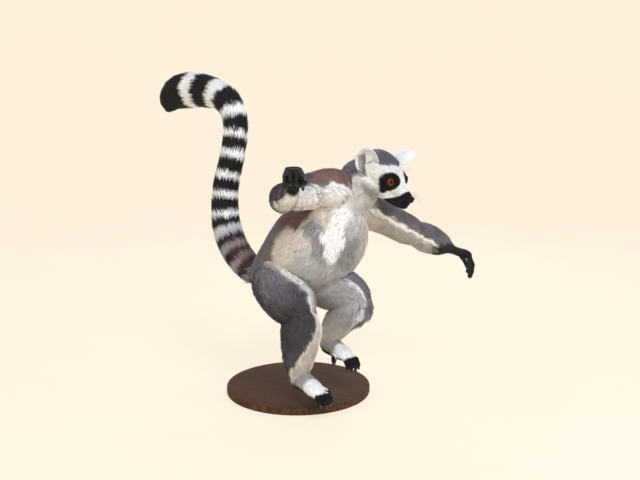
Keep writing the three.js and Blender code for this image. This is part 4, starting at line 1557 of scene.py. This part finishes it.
def skin_material():
    """Bare skin is leathery: pebbles 0.7 mm apart and a moist gloss. Under the coat it is matt down."""
    material, add = new_material("skin_under_coat")
    marking = add("ShaderNodeAttribute", {"attribute_name": "marking"})
    bare = add("ShaderNodeAttribute", {"attribute_name": "bare"})
    where = add("ShaderNodeTexCoord")
    mottle = add("ShaderNodeTexNoise", Vector=(where, "Object"), Scale=420.0, Detail=4.0)
    tone = add("ShaderNodeMapRange", Value=(mottle, "Fac"), To_Min=0.82, To_Max=1.15)
    colour = add(
        "ShaderNodeVectorMath", {"operation": "SCALE"}, _0=(marking, "Color"), Scale=(tone, "Result")
    )
    pebbles = add(
        "ShaderNodeTexVoronoi", {"feature": "DISTANCE_TO_EDGE"}, Vector=(where, "Object"), Scale=1500.0
    )
    down = add("ShaderNodeTexNoise", Vector=(where, "Object"), Scale=1300.0, Detail=3.0)
    relief = add("ShaderNodeMix", _0=(bare, "Fac"), _2=(down, "Fac"), _3=(pebbles, "Distance"))
    bump = add("ShaderNodeBump", Height=(relief, "Result"), Strength=0.6, Distance=0.0003)
    gloss = add("ShaderNodeMapRange", Value=(bare, "Fac"), To_Min=0.85, To_Max=0.50)
    skin_shader = add(
        "ShaderNodeBsdfPrincipled", Base_Color=(colour, "Vector"), Normal=(bump, "Normal"),
        Roughness=(gloss, "Result"), Specular_IOR_Level=0.22,
    )
    return finished(material, skin_shader)


fine_mesh.materials.clear()
fine_mesh.materials.append(skin_material())
print("bare points of the skin:", int(skin_bare.sum()))

# %% [markdown]
# ## Eyes
# A ring-tailed lemur's eye is a near-round opening filled by an orange iris, with a small black pupil and a
# dark rim. The eyeball is turned so that its pole looks along the gaze, and its own `Gaze` map holds the
# angle from the pole and the turn about it. The iris is painted by that angle, with streaks by the turn,
# and a clear coat stands for the wet cornea.

# %% Eyeballs
EYE_SIDES = 48
EYE_RINGS = (0, 5, 10, 14, 17, 20, 24, 29, 34, 39, 43, 46, 50, 56, 66, 80, 100, 125, 152, 180)


def eyeball(name):
    """A ball whose rings are given by their angles from the gaze, with a low bulge for the cornea."""
    centre, gaze, _, up = eye_axes(SIDE_OF[name])
    sideways = np.cross(up, gaze)
    polar = np.radians(EYE_RINGS)
    turn = np.linspace(0, 2 * math.pi, EYE_SIDES, endpoint=False)
    round_ring = np.cos(turn)[:, None] * sideways + np.sin(turn)[:, None] * up
    bulge = EYE_BALL - 0.05 + 0.35 * np.exp(-((np.degrees(polar) / 34) ** 2))
    rings = []
    for angle, radius in zip(polar[1:-1], bulge[1:-1]):
        rings.append(centre + radius * (gaze * math.cos(angle) + round_ring * math.sin(angle)))
    points = np.vstack([*rings, [centre + gaze * bulge[0]], [centre - gaze * bulge[-1]]])
    faces = tube_faces(len(rings), EYE_SIDES)
    a, b, c = (points[faces[:, i]] - centre for i in range(3))
    if np.sum(np.cross(a, b) * c) < 0:
        faces = faces[:, ::-1].copy()
    piece = mesh_piece(f"eye_{name}_ball", into(HEAD, points), faces)
    angles = np.r_[np.repeat(polar[1:-1], EYE_SIDES), 0, math.pi] / math.pi
    turns = np.r_[np.tile(np.arange(EYE_SIDES) / EYE_SIDES, len(rings)), 0.5, 0.5]
    corner_turn = turns[faces]
    across_seam = corner_turn.max(axis=1) - corner_turn.min(axis=1) > 0.6
    corner_turn[across_seam] += corner_turn[across_seam] < 0.4
    set_map(piece.data, "Gaze", np.stack([angles[faces], corner_turn], -1))
    return piece


IRIS_STOPS = [
    (0.0, "#020202"), (0.120, "#030203"), (0.128, "#4A1A08"), (0.145, "#9A3C0E"), (0.205, "#8E330D"),
    (0.243, "#6A220A"), (0.264, "#2A0D06"), (0.276, "#0A0606"), (1.0, "#100D0D"),
]
CORNEA_IOR = 1.376


def eye_material():
    """A matt iris under a clear wet coat, which alone gives the small sharp highlight."""
    material, add = new_material("iris_and_cornea")
    gaze = add("ShaderNodeUVMap", {"uv_map": "Gaze"})
    angle = add("ShaderNodeSeparateXYZ", Vector=(gaze, "UV"))
    streaks = add("ShaderNodeMapping", Vector=(gaze, "UV"), Scale=(10.0, 46.0, 1.0))
    fibres = add("ShaderNodeTexNoise", Vector=(streaks, "Vector"), Scale=1.0, Detail=3.0)
    wander = add("ShaderNodeMapRange", Value=(fibres, "Fac"), To_Min=-0.014, To_Max=0.014)
    ragged = add("ShaderNodeMath", _0=(angle, "X"), _1=(wander, "Result"))
    iris = add("ShaderNodeValToRGB", stops=IRIS_STOPS, Fac=(ragged, "Value"))
    brighter = add("ShaderNodeMapRange", Value=(fibres, "Fac"), To_Min=0.5, To_Max=1.25)
    colour = add(
        "ShaderNodeVectorMath", {"operation": "SCALE"}, _0=(iris, "Color"), Scale=(brighter, "Result")
    )
    eye = add(
        "ShaderNodeBsdfPrincipled", Base_Color=(colour, "Vector"), Roughness=0.35,
        Specular_IOR_Level=0.1, Coat_Weight=0.4, Coat_Roughness=0.02, Coat_IOR=CORNEA_IOR,
    )
    return finished(material, eye)


iris_finish = eye_material()
eyes = {name: eyeball(name) for name in SIDE_OF}
for piece in eyes.values():
    piece.data.materials.append(iris_finish)
print("eyeballs:", len(eyes))

# %% [markdown]
# ## Nails
# Lemurs have flat dark nails rather than claws. Each is a small curved plate set on the back of a finger's
# or toe's last bone, so it's placed by the end of that digit's own line. They are made together as one
# piece. Horn is keratin, like hair: dark and smooth, with faint ridges about a millimetre apart.

# %% Nails


def nails():
    points, faces, start = [], [], 0
    for _, line in DIGITS:
        tangent, side = line["tangent"][-6], line["side"][-6]
        dorsal = np.cross(tangent, side)
        girth = line["size"][-6].mean()
        centre = line["at"][-5] + dorsal * girth * 0.62 + tangent * girth * 0.35
        place = frame_of(centre, tangent - dorsal * 0.25, side)
        size = (girth * 0.95, girth * 0.60, girth * 0.26)
        plate, plate_faces = ball((0, 0, 0), size, WORLD, 0, 14, 8)
        plate[:, 2] -= plate[:, 0] ** 2 * 0.06 + plate[:, 1] ** 2 * 0.14
        plate[:, 1] *= 1 - 0.28 * ease(0, girth, plate[:, 0])
        points.append(into(place, plate))
        faces.append(plate_faces + start)
        start += len(plate)
    return mesh_piece("nails", np.vstack(points), np.vstack(faces))


def horn_material():
    material, add = new_material("dark_nail")
    where = add("ShaderNodeTexCoord")
    ridges = add("ShaderNodeTexNoise", Vector=(where, "Object"), Scale=900.0, Detail=2.0)
    darks = [(0.3, "#141215"), (0.7, "#2C282B")]
    tone = add("ShaderNodeValToRGB", stops=darks, Fac=(ridges, "Fac"))
    polished = add("ShaderNodeBsdfPrincipled", Base_Color=(tone, "Color"), Roughness=0.32, Coat_Weight=0.25)
    return finished(material, polished)


nail_piece = nails()
horn = horn_material()
nail_piece.data.materials.append(horn)
print("nails:", len(DIGITS), "in one piece of", len(nail_piece.data.polygons), "triangles")

# %% [markdown]
# ## Whiskers
# Whiskers are one shape repeated: a thin tapering, slightly bent hair. A Geometry Nodes tree is the right
# tool. It puts a hair on every point of a small mesh of roots, turns it along that root's own direction,
# varies its length with a fixed seed and realizes the copies, so that the result is a plain mesh.

# %% Whisker roots
whisker_spots = []
for side in SIDES:
    for row, level in enumerate((-12.0, -14.5, -17.0)):
        for column in range(4):
            spot = (52.0 + 3.1 * column - 0.8 * row, 14.0 * side, level)
            way = (-0.30 + 0.12 * column, 1.0 * side, -0.16 - 0.12 * row)
            whisker_spots.append((spot, way, 1.0))
    for step in range(3):
        spot = EYE_PLACE * (1, side, 1) + (2.0 + 2.5 * step, -4.0 * side, 15.0)
        whisker_spots.append((spot, (0.25, 0.45 * side, 1.0), 0.75))
    whisker_spots.append(((10.0, 32.0 * side, -20.0), (-0.5, 1.0 * side, -0.4), 0.6))
root_points, root_ways = [], []
for spot, way, _ in whisker_spots:
    place, outward = skin_tree.find_nearest(into(HEAD, [spot])[0].tolist())[:2]
    root_points.append(np.array(place))
    root_ways.append(unit(np.array(way) @ HEAD[:3, :3].T + np.array(outward) * 0.6))
whisker_mesh = bpy.data.meshes.new("whisker_roots")
whisker_mesh.from_pydata((np.array(root_points) * MM).tolist(), [], [])
set_attribute(whisker_mesh, "way", "FLOAT_VECTOR", root_ways)
set_attribute(whisker_mesh, "share", "FLOAT", [share for _, _, share in whisker_spots])
whiskers = new_object("whiskers", whisker_mesh)
print("whisker roots:", len(root_points))

# %% Whisker tree
WHISKER_SIZES = {"Length": 0.021, "Thickness": 0.00013, "Bend": 0.004}
WHISKER_SEED = 7


def whisker_tree():
    tree = bpy.data.node_groups.new("whisker_tree", "GeometryNodeTree")
    face = tree.interface
    face.new_socket("Geometry", in_out="INPUT", socket_type="NodeSocketGeometry")
    for label, value in WHISKER_SIZES.items():
        face.new_socket(label, in_out="INPUT", socket_type="NodeSocketFloat").default_value = value
    face.new_socket("Seed", in_out="INPUT", socket_type="NodeSocketInt").default_value = WHISKER_SEED
    face.new_socket("Finish", in_out="INPUT", socket_type="NodeSocketMaterial")
    face.new_socket("Geometry", in_out="OUTPUT", socket_type="NodeSocketGeometry")
    add = partial(add_node, tree)
    given = add("NodeGroupInput")
    tip = add("ShaderNodeCombineXYZ", X=(given, "Bend"), Z=(given, "Length"))
    half = add("ShaderNodeMath", {"operation": "MULTIPLY"}, _0=(given, "Length"), _1=0.5)
    middle = add("ShaderNodeCombineXYZ", Z=(half, "Value"))
    hair = add(
        "GeometryNodeCurveQuadraticBezier",
        Resolution=6, Start=(0, 0, 0), Middle=(middle, "Vector"), End=(tip, "Vector"),
    )
    along = add("GeometryNodeSplineParameter")
    taper = add("ShaderNodeMapRange", Value=(along, "Factor"), To_Min=1.0, To_Max=0.15)
    thick = add("GeometryNodeSetCurveRadius", Curve=(hair, "Curve"), Radius=(taper, "Result"))
    ring = add("GeometryNodeCurvePrimitiveCircle", Resolution=5, Radius=(given, "Thickness"))
    solid = add(
        "GeometryNodeCurveToMesh", Curve=(thick, "Curve"), Profile_Curve=(ring, "Curve"), Fill_Caps=True
    )
    way = add("GeometryNodeInputNamedAttribute", {"data_type": "FLOAT_VECTOR"}, Name="way")
    turn = add("FunctionNodeAlignRotationToVector", {"axis": "Z"}, Vector=(way, "Attribute"))
    share = add("GeometryNodeInputNamedAttribute", {"data_type": "FLOAT"}, Name="share")
    chance = add("FunctionNodeRandomValue", {"data_type": "FLOAT"}, _2=0.75, _3=1.2, Seed=(given, "Seed"))
    size = add("ShaderNodeMath", {"operation": "MULTIPLY"}, _0=(share, "Attribute"), _1=(chance, 1))
    copies = add(
        "GeometryNodeInstanceOnPoints", Points=(given, "Geometry"), Instance=(solid, "Mesh"),
        Rotation=(turn, "Rotation"), Scale=(size, "Value"),
    )
    plain = add("GeometryNodeRealizeInstances", Geometry=(copies, "Instances"))
    painted = add("GeometryNodeSetMaterial", Geometry=(plain, "Geometry"), Material=(given, "Finish"))
    add("NodeGroupOutput", Geometry=(painted, "Geometry"))
    return tree


growth = whiskers.modifiers.new("growth", "NODES")
growth.node_group = whisker_tree()
sockets = [item for item in growth.node_group.interface.items_tree if item.in_out == "INPUT"]
inputs = {item.name: item.identifier for item in sockets}
for label, value in WHISKER_SIZES.items():
    growth[inputs[label]] = value
growth[inputs["Finish"]] = horn
whiskers.data = applied(whiskers)
print("whiskers:", len(whiskers.data.polygons), "faces")

# %% [markdown]
# ## The stand
# The animal is in the air, so a round turned base with one steel rod holds it. The base is a dark stained
# board with its grain along one way and a small rounded edge, and the rod goes up between the thighs into
# the belly. They're turned shapes: a profile swept round an axis.

# %% Turned shapes
ROD_AT = (6, 6)


def rings_of(profile, centre, sides):
    """A ring of points about an upright axis for each radius and height of the profile."""
    turn = np.linspace(0, 2 * math.pi, sides, endpoint=False)
    x, y = centre
    return [np.stack([x + r * np.cos(turn), y + r * np.sin(turn), np.full(sides, z)], 1) for r, z in profile]


def turned(name, profile, centre, sides):
    """A closed solid of revolution. The profile runs from the axis, round the outside, back to the axis."""
    rings = rings_of(profile[1:-1], centre, sides)
    poles = [(*centre, profile[0][1]), (*centre, profile[-1][1])]
    return mesh_piece(name, np.vstack([*rings, poles]), tube_faces(len(rings), sides), smooth=False)


def rounded(radius, low, high, bevel, steps):
    """The outline of a disc with rounded edges."""
    corner = np.linspace(0, math.pi / 2, steps + 1)
    lower = [(radius - bevel + bevel * math.sin(a), low + bevel - bevel * math.cos(a)) for a in corner]
    upper = [(radius - bevel + bevel * math.cos(a), high - bevel + bevel * math.sin(a)) for a in corner]
    return [(0, low), (radius * 0.5, low), *lower, *upper, (radius * 0.5, high), (0, high)]


def shade_by_angle(piece, degrees):
    """Smooth shading with sharp edges where two faces meet at more than this angle."""
    bm = bmesh.new()
    bm.from_mesh(piece.data)
    for f in bm.faces:
        f.smooth = True
    for e in bm.edges:
        e.smooth = e.calc_face_angle(0) < math.radians(degrees)
    bm.to_mesh(piece.data)
    bm.free()


COLLAR = [
    (0, 14.05), (12.4, 14.05), (13, 14.6), (13, 18.6), (12.5, 19.4), (9.2, 22.7), (8.4, 23.2), (0, 23.2),
]
stand_base = turned("stand_base_board", rounded(140, 0, 14, 2.5, 5), (0, 0), 96)
stand_rod = turned("stand_rod_steel", rounded(5, 14.2, 226, 0.6, 3), ROD_AT, 40)
stand_collar = turned("stand_collar_steel", COLLAR, ROD_AT, 48)
for piece in (stand_base, stand_rod, stand_collar):
    shade_by_angle(piece, 40)
    print(f"{piece.name}: {len(piece.data.polygons)} faces")

# %% Wood and steel
GRAIN_TURN = (0, 0, 0.5)


def wood_material():
    """A stained hardwood board, matt: figure about 11 mm wide and dark pores 0.7 mm wide, 25 mm long."""
    material, add = new_material("stained_board")
    where = add("ShaderNodeTexCoord")
    lie = add("ShaderNodeMapping", Vector=(where, "Object"), Scale=(1.5, 22.0, 22.0), Rotation=GRAIN_TURN)
    figure = add("ShaderNodeTexNoise", Vector=(lie, "Vector"), Scale=4.0, Detail=5.0, Distortion=0.6)
    lines = add(
        "ShaderNodeTexWave", {"bands_direction": "Y"},
        Vector=(lie, "Vector"), Scale=2.1, Distortion=9.0, Detail=4.0,
    )
    pores_lie = add(
        "ShaderNodeMapping", Vector=(where, "Object"), Scale=(40.0, 1400.0, 400.0), Rotation=GRAIN_TURN
    )
    pores = add("ShaderNodeTexNoise", Vector=(pores_lie, "Vector"), Scale=1.0, Detail=2.0)
    both = add("ShaderNodeMix", _0=0.28, _2=(figure, "Fac"), _3=(lines, "Fac"))
    stain = [(0.25, "#3A261B"), (0.5, "#4A3022"), (0.75, "#5B3D2B")]
    tone = add("ShaderNodeValToRGB", stops=stain, Fac=(both, "Result"))
    pitted = add(
        "ShaderNodeMapRange",
        Value=(pores, "Fac"), From_Min=0.35, From_Max=0.5, To_Min=0.72, To_Max=1.1,
    )
    colour = add(
        "ShaderNodeVectorMath", {"operation": "SCALE"}, _0=(tone, "Color"), Scale=(pitted, "Result")
    )
    bump = add("ShaderNodeBump", Height=(pores, "Fac"), Strength=0.25, Distance=0.0003)
    gloss = add("ShaderNodeMapRange", Value=(figure, "Fac"), To_Min=0.62, To_Max=0.78)
    wood = add(
        "ShaderNodeBsdfPrincipled", Base_Color=(colour, "Vector"), Normal=(bump, "Normal"),
        Roughness=(gloss, "Result"), Specular_IOR_Level=0.15,
    )
    return finished(material, wood)


def steel_material():
    """Brushed steel: fine rings round the rod, drawn 0.3 mm apart, which is coarser than real ones."""
    material, add = new_material("brushed_rod")
    where = add("ShaderNodeTexCoord")
    lie = add("ShaderNodeMapping", Vector=(where, "Object"), Scale=(260.0, 260.0, 3200.0))
    brushed = add("ShaderNodeTexNoise", Vector=(lie, "Vector"), Scale=1.0, Detail=2.0)
    greys = [(0.2, "#9B9B9E"), (0.8, "#C9C9CB")]
    tone = add("ShaderNodeValToRGB", stops=greys, Fac=(brushed, "Fac"))
    gloss = add("ShaderNodeMapRange", Value=(brushed, "Fac"), To_Min=0.24, To_Max=0.42)
    bump = add("ShaderNodeBump", Height=(brushed, "Fac"), Strength=0.15, Distance=0.0001)
    steel = add(
        "ShaderNodeBsdfPrincipled", Base_Color=(tone, "Color"), Normal=(bump, "Normal"),
        Roughness=(gloss, "Result"), Metallic=1.0,
    )
    return finished(material, steel)


steel_finish = steel_material()
stand_base.data.materials.append(wood_material())
stand_rod.data.materials.append(steel_finish)
stand_collar.data.materials.append(steel_finish)
print("stand pieces made")

# %% [markdown]
# ## Room and light
# The background is a plain cream dish: a floor that curves up into a wall all round, so no edge shows from
# any side. It glows a little of its own colour, which keeps it even. One broad light from the upper right
# gives form but isn't seen in reflections, where it would veil the black pupils. A weaker one from behind
# picks out the edges of the coat, and a soft pale sky fills the shadows. A small third light shows only
# in reflections: it is the glint in the eyes.

# %% Dish, lights and sky
FLOOR_RADIUS = 2200
CURVE_RADIUS = 1200
WALL_TOP = 3600
DISH_SIDES = 96


def dish():
    profile = [(600, 0), (1400, 0), (FLOOR_RADIUS, 0)]
    for step in range(1, 13):
        angle = math.radians(90 * step / 12)
        profile.append((
            FLOOR_RADIUS + CURVE_RADIUS * math.sin(angle),
            CURVE_RADIUS - CURVE_RADIUS * math.cos(angle),
        ))
    profile.append((FLOOR_RADIUS + CURVE_RADIUS, WALL_TOP))
    rings = rings_of(profile, (0, 0), DISH_SIDES)
    points = np.vstack([*rings, [(0, 0, 0)]])
    pairs = [(j, (j + 1) % DISH_SIDES) for j in range(DISH_SIDES)]
    faces = []
    for low in range(0, (len(rings) - 1) * DISH_SIDES, DISH_SIDES):
        high = low + DISH_SIDES
        faces += [(low + j, high + j, high + k, low + k) for j, k in pairs]
    faces += [(len(points) - 1, j, k) for j, k in pairs]
    return mesh_piece("studio_dish", points, faces)


def dish_material():
    """Matt painted paper: no gloss, and a faint change of tone so that it isn't perfectly flat."""
    material, add = new_material("studio_cream")
    where = add("ShaderNodeTexCoord")
    faint = add("ShaderNodeTexNoise", Vector=(where, "Object"), Scale=3.0)
    creams = [(0.3, "#88847E"), (0.7, "#85817B")]
    tone = add("ShaderNodeValToRGB", stops=creams, Fac=(faint, "Fac"))
    paper = add(
        "ShaderNodeBsdfPrincipled", Base_Color=(tone, "Color"), Roughness=0.95,
        Specular_IOR_Level=0.1, Emission_Color=rgba("#FFF3DF"), Emission_Strength=0.77,
    )
    return finished(material, paper)


room = dish()
room.data.materials.append(dish_material())


def soft_light(name, place, target, size, watts, hex_value):
    light = bpy.data.lights.new(name, "AREA")
    light.shape = "DISK"
    light.size = size
    light.energy = watts
    light.color = linear(hex_value)
    holder = new_object(name, light)
    aim(holder, place, target)
    return holder


key_light = soft_light("key_light", (1.6, -0.7, 1.8), (0, 0, 0.3), 0.9, 32, "#E4EEFF")
soft_light("edge_light", (-0.9, 1.5, 1.5), (0, 0, 0.35), 0.8, 9, "#E6EFFF")
catch_light = soft_light("catch_light", (0.84, -1.07, 0.77), (0.2, 0.03, 0.43), 0.2, 12, "#FFFFFF")
key_light.visible_glossy = False
catch_light.visible_diffuse = False
sky = bpy.data.worlds.new("pale_sky")
sky.use_nodes = True
air = sky.node_tree.nodes["Background"]
air.inputs["Color"].default_value = rgba("#DDE9FF")
air.inputs["Strength"].default_value = 0.54
bpy.context.scene.world = sky
print("dish:", 2 * (FLOOR_RADIUS + CURVE_RADIUS) * MM, "m across")

# %% [markdown]
# ## Handing the pieces over
# Every piece rides on the one body, and the CAD nodes that it stands in for are hidden.

# %% Ride and replace
flesh = [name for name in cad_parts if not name.startswith(("stand_", "eye_"))]
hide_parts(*flesh)
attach(skin, "root")
for piece, slot_name in coat.values():
    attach(piece, "root")
for name, piece in eyes.items():
    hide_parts(f"eye_{name}")
    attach(piece, "root")
for piece in (nail_piece, whiskers):
    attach(piece, "root")
for piece, node, slot_name in (
    (stand_base, "stand_base", "wood"),
    (stand_collar, "stand_collar", "steel"),
    (stand_rod, "stand_rod", "steel"),
):
    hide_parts(node)
    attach(piece, "root")
